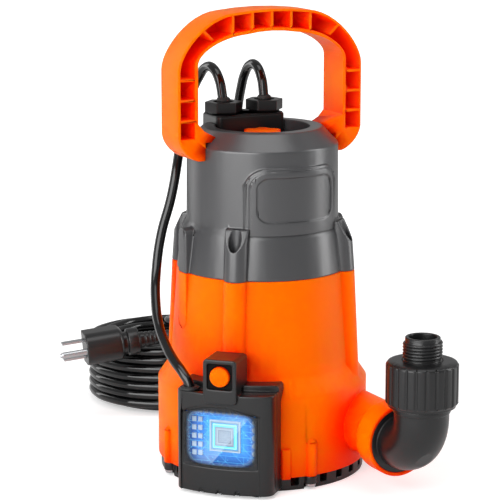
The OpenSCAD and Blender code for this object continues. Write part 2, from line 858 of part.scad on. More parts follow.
module handle_screws() {
    head_x = sqrt(pow(crown_r - wall, 2) - 49) - 1;
    color(steel) for (s = [0, 180], y = [-7, 7]) rotate([0, 0, s])
        translate([head_x, y, foot_low + 6]) rotate([0, -90, 0]) pan_screw(3.4, 2.4, 1.6, 14);
}

// ---- outlet ----

elbow_r = elbow_d / 2;
riser_y = collar_y + 2.5 + bend_r;
elbow_turn_y = collar_y + 2.5;
riser_z = outlet_z + bend_r;
nut_low = outlet_z + 32;
flange_z = nut_low + 20;
nut_r = nut_d / 2;

module at_riser() {
    translate([outlet_x, -riser_y, 0]) children();
}

module elbow_form(r, ends) {
    // the quarter turn from the collar up
    translate([outlet_x, -elbow_turn_y, riser_z]) rotate([0, 90, 0]) rotate([0, 0, -90])
        rotate_extrude(angle = 90) translate([bend_r, 0]) circle(r);
    along_outlet(collar_y - collar_len + 5 - ends, elbow_turn_y + eps) circle(r);
    at_riser() translate([0, 0, riser_z - eps]) cylinder(r = r, h = flange_z - riser_z + ends);
}

module outlet_elbow() {
    color(dark) difference() {
        union() {
            elbow_form(elbow_r, 0);
            // the plug that sits in the collar, with the groove of its ring
            difference() {
                along_outlet(collar_y - collar_len + 5, collar_y - 0.6) circle(collar_in - fit_gap);
                along_outlet(ring_y - 1.6, ring_y + 1.6) difference() {
                    circle(collar_in + 2);
                    circle(collar_in - 2.3);
                }
            }
            at_riser() translate([0, 0, nut_low - 4]) cylinder(r = elbow_r + 0.9, h = 3.4);
        }
        elbow_form(14.5, 1);
    }
}

ring_y = collar_y - 8;

module outlet_oring() {
    color(black) translate([outlet_x, -ring_y, outlet_z]) rotate([90, 0, 0]) rotate_extrude()
        translate([collar_in - 1.1, 0]) circle(1.1, $fn = 24);
}

adapter_flange_r = elbow_r - 0.3;
gasket_t = 2.5;
adapter_low = flange_z + gasket_t;
nut_lip_z = adapter_low + 4;
hose_low = nut_low + nut_h;

module adapter_gasket() {
    color("#202020") at_riser() translate([0, 0, flange_z]) tube(elbow_r - 0.5, 14.5, gasket_t);
}

module hose_adapter() {
    color(dark) at_riser() difference() {
        union() {
            translate([0, 0, adapter_low]) cylinder(r = adapter_flange_r, h = 4 - run_gap);
            translate([0, 0, adapter_low]) cylinder(r = hose_d / 2 - 1.2, h = hose_low + 6 - adapter_low);
            translate([0, 0, hose_low + 1]) cylinder(r = hose_d / 2, h = 11.5);
            translate([0, 0, hose_low + 12]) cylinder(r1 = hose_d / 2 - 1, r2 = hose_d / 2 - 1.6, h = 4);
        }
        translate([0, 0, adapter_low - 1]) cylinder(r = hose_bore / 2, h = 60);
    }
}

module union_nut() {
    bore_r = elbow_r + run_gap;
    groove_r = 1.2;
    color(dark) at_riser() difference() {
        rotate_extrude() polygon([[0, nut_low], [nut_r - 1.6, nut_low], [nut_r - 1.6, nut_low + 1.5],
            [nut_r, nut_low + 3], [nut_r, hose_low - 3.2], [nut_r - 1.4, hose_low - 1.2],
            [nut_r - 5, hose_low], [0, hose_low]]);
        translate([0, 0, nut_low - 1]) cylinder(r = bore_r, h = nut_lip_z - nut_low + 1);
        translate([0, 0, nut_low - 1]) cylinder(r = hose_d / 2 + run_gap, h = nut_h + 2);
        for (i = [0:nut_grooves - 1]) rotate([0, 0, i * 360 / nut_grooves])
            translate([nut_r + 0.3, 0, nut_low - 1]) cylinder(r = groove_r, h = nut_h - 1.2, $fn = 16);
    }
}

// ---- sensor box ----

// Everything here is drawn facing -Y and turned to its place at the end
module on_box() {
    rotate([0, 0, -box_turn]) children();
}

box_low = 2.4;
box_back = skirt_r + 0.15;
box_split = skirt_r + 9;
box_front = skirt_r + box_t;
box_wall = 2.6;
box_half = box_w / 2;
box_corner = 8;
flange_r = skirt_r + 4;
saddle_top = box_top + 4.1;
tower_w = 24;
tower_top = box_top + 25.5;
tower_front = box_front + 3.5;
tower_back = skirt_r - 3;
button_z = box_top + 13.5;
recess_floor = tower_front - 2.5;
button_wall = 1.4;
board_y = box_split - 3;
board_t = 1.6;
cord_hole_x = -26;
cord_hole_y = -skirt_r - 7.5;
cord_hole_r = 5.5;

// The slice of a ring that is box_w wide
module slice(ro, ri, z_low, z_high, half = box_half) {
    intersection() {
        translate([0, 0, z_low]) tube(ro, ri, z_high - z_low, $fn = 192);
        translate([-half, -120, z_low - 1]) cube([2 * half, 80, z_high - z_low + 2]);
    }
}

// The cover's plan: an arc round the pump's axis, with rounded corners where it meets the sides
box_turn_in = acos((box_half - box_corner) / (box_front - box_corner));
function box_corner_at(i, s) = let (k = -box_turn_in * i / 6)
    [s * (box_half - box_corner + box_corner * cos(k)),
        box_corner * sin(k) - (box_front - box_corner) * sin(box_turn_in)];
box_outline = concat([[box_half, -60]], [for (i = [0:6]) box_corner_at(i, 1)],
    [for (i = [1:27]) let (k = -box_turn_in - (180 - 2 * box_turn_in) * i / 28)
        [box_front * cos(k), box_front * sin(k)]],
    [for (i = [6:-1:0]) box_corner_at(i, -1)], [[-box_half, -60]]);

module on_box_screws() {
    for (x = [-23, 23]) on_box() translate([x, -sqrt(pow(box_back + 2.8, 2) - x * x) + 0.4, 30])
        rotate([90, 0, 0]) children();
}

module cord_hole(r, z_from, z_to) {
    translate([cord_hole_x, cord_hole_y, z_from]) cylinder(r = r, h = z_to - z_from, $fn = 40);
}

module sensor_housing() {
    color(dark) difference() {
        union() {
            on_box() difference() {
                union() {
                    slice(box_split, body_r - 1, box_low, box_top);
                    intersection() {
                        slice(flange_r, body_r - 1, box_top - 1, saddle_top);
                        upright(-110, -40) translate([0, box_top - 2])
                            arched(box_w - 0.6, saddle_top - box_top + 2, 3);
                    }
                }
                slice(box_split + 1, box_back + 2.8, box_low + box_wall, box_top - box_wall,
                    box_half - box_wall);
            }
            // posts that carry the board
            on_box() for (x = [-25, 25], z = [14, box_top - 12]) translate([x, -board_y, z])
                rotate([-90, 0, 0]) cylinder(r = 3, h = 8, $fn = 32);
        }
        casing_outside(0.15);
        at_angles(lug_angles) base_lug(0, base_h + 30);
        translate([0, 0, -1]) cylinder(r = base_r + 0.3, h = base_h + 2);
        on_box() cord_hole(cord_hole_r + fit_gap, box_top - box_wall - 2, saddle_top + 5);
        on_box() tower(fit_gap);
        on_box_screws() cylinder(r = 1.9, h = 20, center = true, $fn = 32);
        on_box_screws() cylinder(r = 3.6, h = 5, $fn = 32);
    }
}

module sensor_mount_screws() {
    color(steel) on_box_screws() pan_screw(3.4, 2.2, 1.7, 9);
}

module tower(grow = 0) {
    intersection() {
        tube(tower_front + grow, box_split + 0.4 - grow, tower_top + 5, $fn = 192);
        upright(-110, -40) translate([0, box_top - 5.7])
            rounded(tower_w + 2 * grow, tower_top - box_top + 5.7, 3);
    }
    intersection() {
        tube(box_split + 1, tower_back - grow, tower_top + 5, $fn = 192);
        upright(-110, -40) translate([0, saddle_top + fit_gap - grow])
            arched(tower_w + 2 * grow, tower_top - saddle_top - fit_gap + grow, 3);
    }
}

window_low = 21;
window_w = 54;
window_h = 37;
window_arc = 6;
// The window stands this far from the middle of the cover
window_x = -2;

// The window's outline: a rectangle under a flat arch
module window_plan(grow = 0) {
    arc_r = (pow(window_w / 2, 2) + pow(window_arc, 2)) / (2 * window_arc);
    translate([window_x, window_low - grow]) square([window_w + 2 * grow, 2 * window_h], center = true);
    intersection() {
        translate([window_x, window_low + window_h + window_arc - arc_r]) circle(arc_r + grow, $fn = 180);
        translate([window_x - window_w / 2 - grow, window_low]) square([window_w + 2 * grow, window_h + 10]);
    }
}

module window_form(grow, r_out, r_in, low = window_low) {
    intersection() {
        tube(r_out, r_in, box_top, $fn = 192);
        upright(-110, -40) intersection() {
            window_plan(grow);
            translate([-60, low - grow]) square([120, 80]);
        }
    }
}

module sensor_cover() {
    color(dark) on_box() difference() {
        union() {
            difference() {
                translate([0, 0, box_low]) linear_extrude(box_top - box_low) polygon(box_outline);
                cylinder(r = box_split + fit_gap, h = box_top + 1, $fn = 192);
            }
            tower();
        }
        slice(box_front - box_wall, box_split - 1, box_low + box_wall, box_top - box_wall,
            box_half - box_wall);
        // the window, and the shallow field from its arch down to the edge
        window_form(-1.4, box_front + 1, box_front - 8);
        window_form(0, box_front + 1, box_front - 1.9);
        window_form(1.6, box_front + 1, box_front - 0.8, -1);
        // the button's recess, hole and room
        intersection() {
            upright(-110, -recess_floor) translate([0, button_z - 9]) rounded(18, 18, 1.5);
            translate([0, 0, button_z - 20]) cylinder(r = 110, h = 40);
        }
        translate([0, -recess_floor - 1, button_z]) rotate([-90, 0, 0])
            cylinder(r = button_d / 2 + run_gap, h = 6);
        translate([-9, -recess_floor + button_wall, button_z - 14])
            cube([18, recess_floor - button_wall - tower_back - 4, 23]);
        // the notches over the probes
        for (i = [-1:2]) translate([13 * i + window_x, -110, box_low + 1.2]) rotate([-90, 0, 0])
            cylinder(r = 1.75, h = 110 - box_front + 3.4, $fn = 24);
        probe_places() cylinder(r = 1.5, h = 12, $fn = 24);
        cord_hole(cord_hole_r + fit_gap, box_top - box_wall - 2, saddle_top + 5);
    }
}

module probe_places() {
    for (i = [-1:2]) translate([13 * i + window_x, -box_front + 6, box_low - 1]) children();
}

module sensor_probes() {
    color(steel) on_box() probe_places() cylinder(r = 1.5, h = 7, $fn = 24);
}

module sensor_window() {
    color("#5aa9e6", 0.45) on_box() window_form(-fit_gap, box_front - 0.9, box_front - 1.9);
}

module control_board() {
    color("#1553b8") on_box() translate([0, -board_y, 0]) difference() {
        upright(-board_t, 0) translate([0, box_low + 7]) rounded(60, box_top - box_low - 14, 2);
        for (x = [-25, 25], z = [14, box_top - 12]) translate([x, -5, z]) rotate([-90, 0, 0])
            cylinder(r = 1.2, h = 10, $fn = 24);
    }
}

chip_z = 42;
module controller_chip() {
    color("#9aa4ae") on_box() translate([0, -board_y - board_t, chip_z]) {
        translate([-11, -2, -11]) cube([22, 2, 22]);
        translate([-8, -2.8, -8]) cube([16, 2.8, 16]);
    }
}

module board_parts() {
    face = -board_y - board_t;
    color("#2b3c52") on_box() {
        for (i = [0:10]) translate([-23 + 4.2 * i, face - 2.4, 58]) cube([2.6, 2.4, 4]);
        for (i = [0:5]) translate([22, face - 3, 26 + 5.6 * i]) rotate([-90, 0, 0])
            cylinder(r = 2, h = 3, $fn = 24);
        for (i = [0:4], j = [0:1]) translate([-24 + 4.4 * j, face - 1.4, 27 + 6 * i]) cube([3, 1.4, 3.4]);
    }
}

module mode_button() {
    flange_y = -recess_floor + button_wall + 0.2;
    color(orange) on_box() {
        translate([0, -tower_front - 0.6, button_z]) rotate([-90, 0, 0]) {
            cylinder(r1 = button_d / 2 - 1, r2 = button_d / 2, h = 1);
            translate([0, 0, 1 - eps]) cylinder(r = button_d / 2, h = tower_front - 0.4 + flange_y + 2 * eps);
        }
        translate([0, flange_y, button_z]) rotate([-90, 0, 0]) cylinder(r = button_d / 2 + 1, h = 1);
        translate([0, flange_y, button_z]) rotate([-90, 0, 0]) cylinder(r = 3, h = 6);
    }
}

module button_switch() {
    front_y = -recess_floor + button_wall + 6.2 + button_travel + 0.3;
    back_y = -tower_back - 4;
    color("#d7d7d2") on_box() translate([-5, front_y, button_z - 5]) cube([10, back_y - front_y, 10]);
}

module sensor_cord_grommet() {
    color(black) on_box() difference() {
        union() {
            cord_hole(cord_hole_r, box_top - box_wall - 1, box_top + 2);
            cord_hole(cord_hole_r + 1.2, box_top, box_top + 1.5);
        }
        cord_hole(cord_d / 2 - 0.1, 0, 100);
    }
}

// ---- cords ----

function unit(v) = v / norm(v);

// A point on the smooth curve through b and c, with a and d before and after them
function spline(a, b, c, d, t) = 0.5 * (2 * b + (c - a) * t + (2 * a - 5 * b + 4 * c - d) * t * t
    + (3 * b - a - 3 * c + d) * t * t * t);

function smooth(p, n) = concat([for (i = [0:len(p) - 2], k = [0:n - 1])
    spline(p[max(i - 1, 0)], p[i], p[i + 1], p[min(i + 2, len(p) - 1)], k / n)], [p[len(p) - 1]]);

// A closed tube along a path; side_of is a direction that the path never takes
module cord(path, d, sides, side_of) {
    n = len(path);
    function ring(i) = let (along = unit(path[min(i + 1, n - 1)] - path[max(i - 1, 0)]),
            side = unit(cross(along, side_of)), up = cross(side, along))
        [for (k = [0:sides - 1]) path[i] + d / 2 * (cos(360 * k / sides) * side + sin(360 * k / sides) * up)];
    walls = [for (i = [0:n - 2], k = [0:sides - 1]) let (a = i * sides + k, b = i * sides + (k + 1) % sides)
        each [[a, b, b + sides], [a, b + sides, a + sides]]];
    caps = [for (k = [1:sides - 2]) each [[0, k + 1, k],
        [(n - 1) * sides, (n - 1) * sides + k, (n - 1) * sides + k + 1]]];
    polyhedron(points = [for (i = [0:n - 1]) each ring(i)], faces = concat(walls, caps));
}

gland_top = block_top + gland_h;
// The sensor cord: up out of its gland, back over the rim, down the left side, into the sensor box
sensor_route = [[-16.3, 29, gland_top - 16], [-16.3, 29, gland_top - 6], [-16.5, 30.5, gland_top + 4],
    [-17, 34.5, gland_top + 15], [-17.5, 43, gland_top + 22], [-18, 53.5, gland_top + 22],
    [-19.5, 62.5, gland_top + 14], [-23, 67.5, gland_top + 2], [-29, 66, 246], [-36.5, 58, 232], [-44, 48, 216],
    [-52, 42, 192], [-60, 42, 166], [-67, 36, 140], [-73, 24, 121], [-77, 10, 107], [-79.5, -7, 97],
    [-80.5, -22, 90], [-79.3, -34, 83.5], [-77.1, -39.5, 76.5], [-76.7, -40, 70]];
// The free part of the power cord: up, back over the rim, down to the floor, along to the coil
power_route = [[16.3, 29, gland_top - 16], [16.3, 29, gland_top - 6], [16.3, 30, gland_top + 4],
    [16.3, 33.5, gland_top + 15], [16.2, 41.5, gland_top + 22.5], [16, 51, gland_top + 22],
    [15.5, 58.5, gland_top + 14.5], [15, 63.5, gland_top + 3], [14.2, 67.5, 248], [13.2, 72, 224],
    [12, 77, 190], [11.3, 80.5, 155], [11, 83, 120], [11, 84, 85], [11.5, 85, 55], [13, 88, 34],
    [17, 95, 17], [22, 101, 8], [28, 109, 3.8], [37, 121.4, 3.6],
    [48, 137, 3.6], [59.1, 152.9, 3.6]];
coil_centre = [14, 193];
coil_start = -35;

module sensor_cord() {
    color(black) cord(smooth(sensor_route, 2), cord_d, 8, [1, 0, 0]);
}

module power_cord() {
    color(black) cord(smooth(power_route, 2), cord_d, 8, [1, 0, 0]);
}

coil_tube = cord_d - 0.5;
coil_low = coil_tube * 0.4;
coil_gap = 0.2;
coil_h = (coil_layers - 1) * cord_d;
coil_turns = coil_layers - 0.05;
coil_rings = 24;

// Height along the outer winding, which climbs one cord in each turn
function coil_z(turn) = coil_low + cord_d * turn;

coil_path = [for (i = [0:coil_turns * coil_rings])
    let (turn = i / coil_rings, a = coil_start + 360 * turn)
    [coil_centre[0] + coil_r * cos(a), coil_centre[1] + coil_r * sin(a), coil_z(turn)]];

coil_first = coil_path[0];
coil_last = coil_path[len(coil_path) - 1];
coil_in = [-sin(coil_start), cos(coil_start), 0];
coil_out = let (a = coil_start + 360 * coil_turns) [-sin(a), cos(a), 0];

module power_cord_coil() {
    path = concat([coil_first - coil_in * cord_d], coil_path, [coil_last + coil_out * cord_d]);
    gap = min([for (i = [0:len(coil_path) - 1 - coil_rings + 4]) for (k = [coil_rings - 4:coil_rings + 4])
        if (i + k < len(coil_path)) norm(coil_path[i + k] - coil_path[i])]) - coil_tube;
    echo(least_gap_between_turns = gap);
    color(black) difference() {
        cord(path, coil_tube, 6, [0, 0, 1]);
        translate([-100, 60, -20]) cube([240, 240, 20]);
    }
}

module power_cord_coil_core() {
    ro = coil_r - cord_d / 2 - coil_gap;
    ri = coil_r - 2.5 * cord_d;
    color(black) translate([coil_centre[0], coil_centre[1], 0]) rotate_extrude($fn = 72) difference() {
        translate([ri, 0]) square([ro - ri, coil_h + cord_d]);
        translate([ri - 1, coil_h + cord_d - 2]) rotate([0, 0, 45]) square(4);
    }
}

// The plug hangs over the rim of the coil, held by its cord
plug_turn = 168;
plug_tilt = 6;
plug_h = 25;
plug_z = coil_h + cord_d + 11.2;
plug_at = [-55, 146.3];

module on_plug() {
    translate([plug_at[0], plug_at[1], plug_z]) rotate([0, 0, plug_turn]) rotate([0, plug_tilt, 0]) children();
}

// The short end of the power cord, from the coil's inner top turn round and back to the plug
tail_low = coil_h + cord_d + cord_d / 2 + 0.1;
tail_route = [[59.8, 189, tail_low], [58.9, 200, tail_low + 0.2], [54.5, 212.5, tail_low + 0.8],
    [46.5, 219.7, tail_low + 1.6], [36, 220.9, tail_low + 2.6], [26.5, 216.3, tail_low + 3.7],
    [21.3, 207, tail_low + 4.8], [20.2, 195, tail_low + 6], [20, 182, tail_low + 7.2],
    [18.1, 166.9, tail_low + 8.6], [12.7, 152.3, tail_low + 10.3], [2.6, 141.5, plug_z + 4.3],
    [-6.6, 137.1, plug_z + 4.8], [-15.1, 137.9, plug_z + 4.2]];

module power_cord_tail() {
    color(black) cord(smooth(tail_route, 2), cord_d, 8, [0, 0, 1]);
}

module plug_body() {
    color(dark) on_plug() difference() {
        union() {
            translate([-6, -12, -plug_h / 2]) cube([27, 24, plug_h]);
            translate([-5, 0, 0]) rotate([0, -90, 0]) rotate_extrude($fn = 48) polygon([[0, 0], [9.5, 0],
                [8.6, 5], [10.6, 8], [10.6, 16], [9, 18.5], [6.2, 19], [4.4, 41], [0, 41]]);
        }
        translate([-40 - eps, 0, 0]) rotate([0, -90, 0]) cylinder(r = cord_d / 2, h = 20, $fn = 40);
    }
}

module plug_blades() {
    color(steel) on_plug() for (s = [-1, 1])
        translate([21 - eps, -6.3, s * 6.35 - 0.75]) cube([17, 6.35, 1.5]);
}

module plug_ground_pin() {
    color(steel) on_plug() translate([21 - eps, 8, 0]) rotate([0, 90, 0]) {
        cylinder(r = 2.4, h = 19, $fn = 32);
        translate([0, 0, 19 - eps]) cylinder(r1 = 2.4, r2 = 1.2, h = 2, $fn = 32);
    }
}

strainer_base();
base_screws();
suction_plate();
suction_screws();
pump_casing();
impeller();
impeller_nut();
motor_shaft();
motor_rotor();
shaft_seal();
seal_plate();
lower_bearing();
motor_sleeve();
motor_stator();
stator_windings();
upper_bracket();
upper_bearing();
tie_bolts();
run_capacitor();
terminal_block();
casing_oring();
motor_cover();
cover_screws();
vent_plug();
vent_plug_seal();
gland_block();
power_gland_nut();
sensor_gland_nut();
power_cord_seal();
sensor_cord_seal();
carry_handle();
handle_screws();
outlet_elbow();
outlet_oring();
union_nut();
hose_adapter();
adapter_gasket();
sensor_housing();
sensor_mount_screws();
control_board();
controller_chip();
board_parts();
sensor_probes();
sensor_cover();
sensor_window();
mode_button();
button_switch();
sensor_cord_grommet();
sensor_cord();
power_cord();
power_cord_coil();
power_cord_coil_core();
power_cord_tail();
plug_body();
plug_blades();
plug_ground_pin();
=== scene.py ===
"""A submersible sump pump, dressed: moulded casings, hose thread, cords, plug and sensor board."""

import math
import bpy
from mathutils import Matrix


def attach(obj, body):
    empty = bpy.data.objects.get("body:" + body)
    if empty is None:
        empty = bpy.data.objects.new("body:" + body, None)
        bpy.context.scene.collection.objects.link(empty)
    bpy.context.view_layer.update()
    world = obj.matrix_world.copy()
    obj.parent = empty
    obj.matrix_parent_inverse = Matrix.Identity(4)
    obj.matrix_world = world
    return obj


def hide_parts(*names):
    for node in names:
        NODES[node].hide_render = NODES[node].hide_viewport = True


bl_info = {
    "name": "Submersible sump pump",
    "version": (1, 0, 0),
    "blender": (4, 5, 0),
    "location": "View3D > Sidebar > Sump pump",
    "description": "Builds the finished look of a submersible sump pump around its fixed frame",
    "category": "Object",
}

import bpy
from bpy.props import FloatProperty, PointerProperty, StringProperty
from mathutils import Matrix, Vector

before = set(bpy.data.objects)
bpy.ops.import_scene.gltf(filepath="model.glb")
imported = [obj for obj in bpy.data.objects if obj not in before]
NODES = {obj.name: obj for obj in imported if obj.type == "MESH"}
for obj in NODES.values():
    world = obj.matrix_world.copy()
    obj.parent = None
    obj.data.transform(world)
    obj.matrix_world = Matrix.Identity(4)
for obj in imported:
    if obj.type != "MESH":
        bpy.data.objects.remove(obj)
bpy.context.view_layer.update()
MM = 0.001


# ---- sizes and colours that a user would change ----

class PumpSizes(bpy.types.PropertyGroup):
    """Real sizes of the pieces that are added to the frame."""
    cord_diameter: FloatProperty(name="Cord diameter", description="Diameter of both cords' sheaths",
                                 default=0.007, unit="LENGTH", min=0.006, max=0.0074)
    mains_length: FloatProperty(name="Mains cord length", default=7.62, unit="LENGTH",
                                description="Length of the power cord, gland to plug")
    soft_edge: FloatProperty(name="Soft edge", description="Radius that the mould leaves on plastic edges",
                             default=0.0009, unit="LENGTH", min=0.0, max=0.003)
    thread_pitch: FloatProperty(name="Thread pitch", description="Pitch of the hose thread",
                                default=0.00221, unit="LENGTH")


class PumpColours(bpy.types.PropertyGroup):
    """Colours of the finishes, as sRGB hex values."""
    orange: StringProperty(name="Orange", description="ABS of the casing and the handle", default="FF6600")
    grey: StringProperty(name="Grey", description="Textured cover of the motor", default="303032")
    dark: StringProperty(name="Dark grey", description="Glass-filled nylon fittings", default="141415")
    cord: StringProperty(name="Cord", description="PVC sheath of the cords", default="060607")


class PumpStage(bpy.types.PropertyGroup):
    """The camera's place and the studio light."""
    azimuth: FloatProperty(name="Camera azimuth", description="Turn of the camera from the front",
                           default=math.radians(-27.0), subtype="ANGLE")
    elevation: FloatProperty(name="Camera elevation", description="Height of the camera above the horizon",
                             default=math.radians(11.7), subtype="ANGLE")
    distance: FloatProperty(name="Camera distance", description="Distance from the camera to its aim",
                            default=1.5357, unit="LENGTH")
    lens: FloatProperty(name="Lens", description="Focal length on a 36 mm sensor", default=154.2,
                        unit="CAMERA")
    key_power: FloatProperty(name="Key light", description="Power of the large soft lamp", default=22.0)
    ambient: FloatProperty(name="Room light", description="Strength of the even light from all round",
                           default=0.42)
    floor_white: FloatProperty(name="Floor white", description="How white the floor is in its own shadow",
                               default=0.42)


# ---- small helpers ----

def linear(hex_value, alpha=1.0):
    """An sRGB hex colour as linear RGBA."""
    def channel(c):
        return c / 12.92 if c <= 0.04045 else ((c + 0.055) / 1.055) ** 2.4
    h = hex_value.lstrip("#")
    return tuple(channel(int(h[i:i + 2], 16) / 255) for i in (0, 2, 4)) + (alpha,)


def add_node(tree, kind, links=None, **settings):
    """Adds a node, sets its properties and sockets, and links what is linked."""
    n = tree.nodes.new(kind)
    for key, value in settings.items():
        if key.startswith("in_"):
            name = key[3:].replace("_", " ")
            n.inputs[int(name) if name.isdigit() else name].default_value = value
        else:
            setattr(n, key, value)
    for socket, source in (links or {}).items():
        tree.links.new(source, n.inputs[socket])
    return n


def deselect():
    """Leaves nothing selected and no mode open."""
    if bpy.context.object and bpy.context.object.mode != "OBJECT":
        bpy.ops.object.mode_set(mode="OBJECT")
    bpy.ops.object.select_all(action="DESELECT")


def make_active(obj):
    """Selects only obj."""
    deselect()
    obj.select_set(True)
    bpy.context.view_layer.objects.active = obj


def settle(obj):
    """Puts an object's place into its mesh, so that it sits at the origin."""
    make_active(obj)
    bpy.ops.object.transform_apply(location=True, rotation=True, scale=True)
    return obj


def finish_piece(obj, name, material, body="pump", replaces=(), smooth=35):
    """Names a piece, gives it its material and hangs it on its body."""
    obj.name = name
    obj.data.name = name
    obj.data.materials.clear()
    obj.data.materials.append(material)
    if obj.type == "MESH" and smooth:
        make_active(obj)
        bpy.ops.object.shade_smooth_by_angle(angle=math.radians(smooth))
    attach(obj, body)
    if replaces:
        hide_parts(*replaces)
    deselect()
    return obj


def show_cad_copy(name, node, whole_faces=True):
    """A copy of a node's mesh, merged, its flat faces made whole where they have no holes."""
    obj = bpy.data.objects.new(name, NODES[node].data.copy())
    bpy.context.scene.collection.objects.link(obj)
    make_active(obj)
    bpy.ops.object.mode_set(mode="EDIT")
    bpy.ops.mesh.select_all(action="SELECT")
    bpy.ops.mesh.remove_doubles(threshold=0.000004)
    if whole_faces:
        bpy.ops.mesh.dissolve_limited(angle_limit=math.radians(0.6))
    bpy.ops.object.mode_set(mode="OBJECT")
    return obj


def apply_modifier(obj, kind, **settings):
    """Adds a modifier, sets it and applies it."""
    make_active(obj)
    m = obj.modifiers.new(kind.lower(), kind)
    for key, value in settings.items():
        setattr(m, key, value)
    bpy.ops.object.modifier_apply(modifier=m.name)
    return obj


def pick(obj, test, kind="FACE"):
    """Opens edit mode with only those faces or points selected that pass the test."""
    make_active(obj)
    bpy.ops.object.mode_set(mode="EDIT")
    bpy.ops.mesh.select_mode(type=kind)
    bpy.ops.mesh.select_all(action="DESELECT")
    bpy.ops.object.mode_set(mode="OBJECT")
    if kind == "FACE":
        for f in obj.data.polygons:
            f.select = bool(test(f.center, f.normal))
    else:
        for v in obj.data.vertices:
            v.select = bool(test(v.co, v.normal))
    bpy.ops.object.mode_set(mode="EDIT")


def pick_edges(obj, test):
    """Opens edit mode with only those edges selected whose two faces' normals and middle pass the test."""
    mesh = obj.data
    beside = {}
    for f in mesh.polygons:
        for key in f.edge_keys:
            beside.setdefault(tuple(sorted(key)), []).append(f.normal.copy())
    pick(obj, lambda co, n: False, "VERT")
    bpy.ops.mesh.select_mode(type="EDGE")
    bpy.ops.object.mode_set(mode="OBJECT")
    for e in mesh.edges:
        faces = beside.get(tuple(sorted(e.vertices)), ())
        middle = (mesh.vertices[e.vertices[0]].co + mesh.vertices[e.vertices[1]].co) / 2
        e.select = len(faces) == 2 and bool(test(faces[0], faces[1], middle))
    bpy.ops.object.mode_set(mode="EDIT")


def cut(obj, cutter):
    """Takes cutter's space out of obj and removes cutter."""
    apply_modifier(obj, "BOOLEAN", object=cutter, operation="DIFFERENCE", solver="EXACT")
    bpy.data.objects.remove(cutter, do_unlink=True)
    return obj


def outward(obj):
    """Merges doubles and turns every face outwards."""
    make_active(obj)
    bpy.ops.object.mode_set(mode="EDIT")
    bpy.ops.mesh.select_all(action="SELECT")
    bpy.ops.mesh.remove_doubles(threshold=0.000002)
    bpy.ops.mesh.normals_make_consistent(inside=False)
    bpy.ops.object.mode_set(mode="OBJECT")
    return obj


def keep_within(obj, node):
    """Presses what a bevel pushed out of the node's own box back onto that box."""
    for axis in range(3):
        places = [v.co[axis] for v in NODES[node].data.vertices]
        for limit, side in ((min(places), -1), (max(places), 1)):
            if all((v.co[axis] - limit) * side <= 0.000002 for v in obj.data.vertices):
                continue
            pick(obj, lambda co, n: (co[axis] - limit) * side > 0, "VERT")
            flat, middle = [1, 1, 1], [0, 0, 0]
            flat[axis], middle[axis] = 0, limit
            bpy.ops.transform.resize(value=flat, center_override=middle)
            bpy.ops.object.mode_set(mode="OBJECT")
    return obj


def lathe(profile, segments=64, closed=False, matrix=None):
    """Turns a profile of (radius, height) pairs in mm: one circle, extruded and resized from pair to pair.

    A closed profile is a ring's section; an open one has both its ends filled."""
    deselect()
    r, z = profile[0]
    bpy.ops.mesh.primitive_circle_add(vertices=segments, radius=r * MM, location=(0, 0, z * MM),
                                      fill_type="NOTHING" if closed else "NGON")
    obj = settle(bpy.context.object)
    pick(obj, lambda co, n: True, "VERT")
    if not closed:
        bpy.ops.mesh.select_mode(type="FACE")
        bpy.ops.mesh.select_all(action="SELECT")
    points = profile[1:] + (profile[:1] if closed else [])
    for rb, zb in points:
        step = {"value": (0, 0, (zb - z) * MM)}
        bpy.ops.mesh.extrude_region_move(TRANSFORM_OT_translate=step)
        bpy.ops.transform.resize(value=(rb / r, rb / r, 1), center_override=(0, 0, zb * MM))
        r, z = rb, zb
    bpy.ops.object.mode_set(mode="OBJECT")
    outward(obj)
    if matrix is not None:
        obj.matrix_world = matrix
        settle(obj)
    return obj


# ---- materials ----

def new_material(name):
    """An empty material and its node tree."""
    m = bpy.data.materials.new(name)
    m.use_nodes = True
    m.node_tree.nodes.clear()
    return m, m.node_tree


# painted shade: the deep red that the orange plastic is painted in its hollows
PAINTED_SHADE_RED = "FF1E00"
NEAR_FACES = 0.03


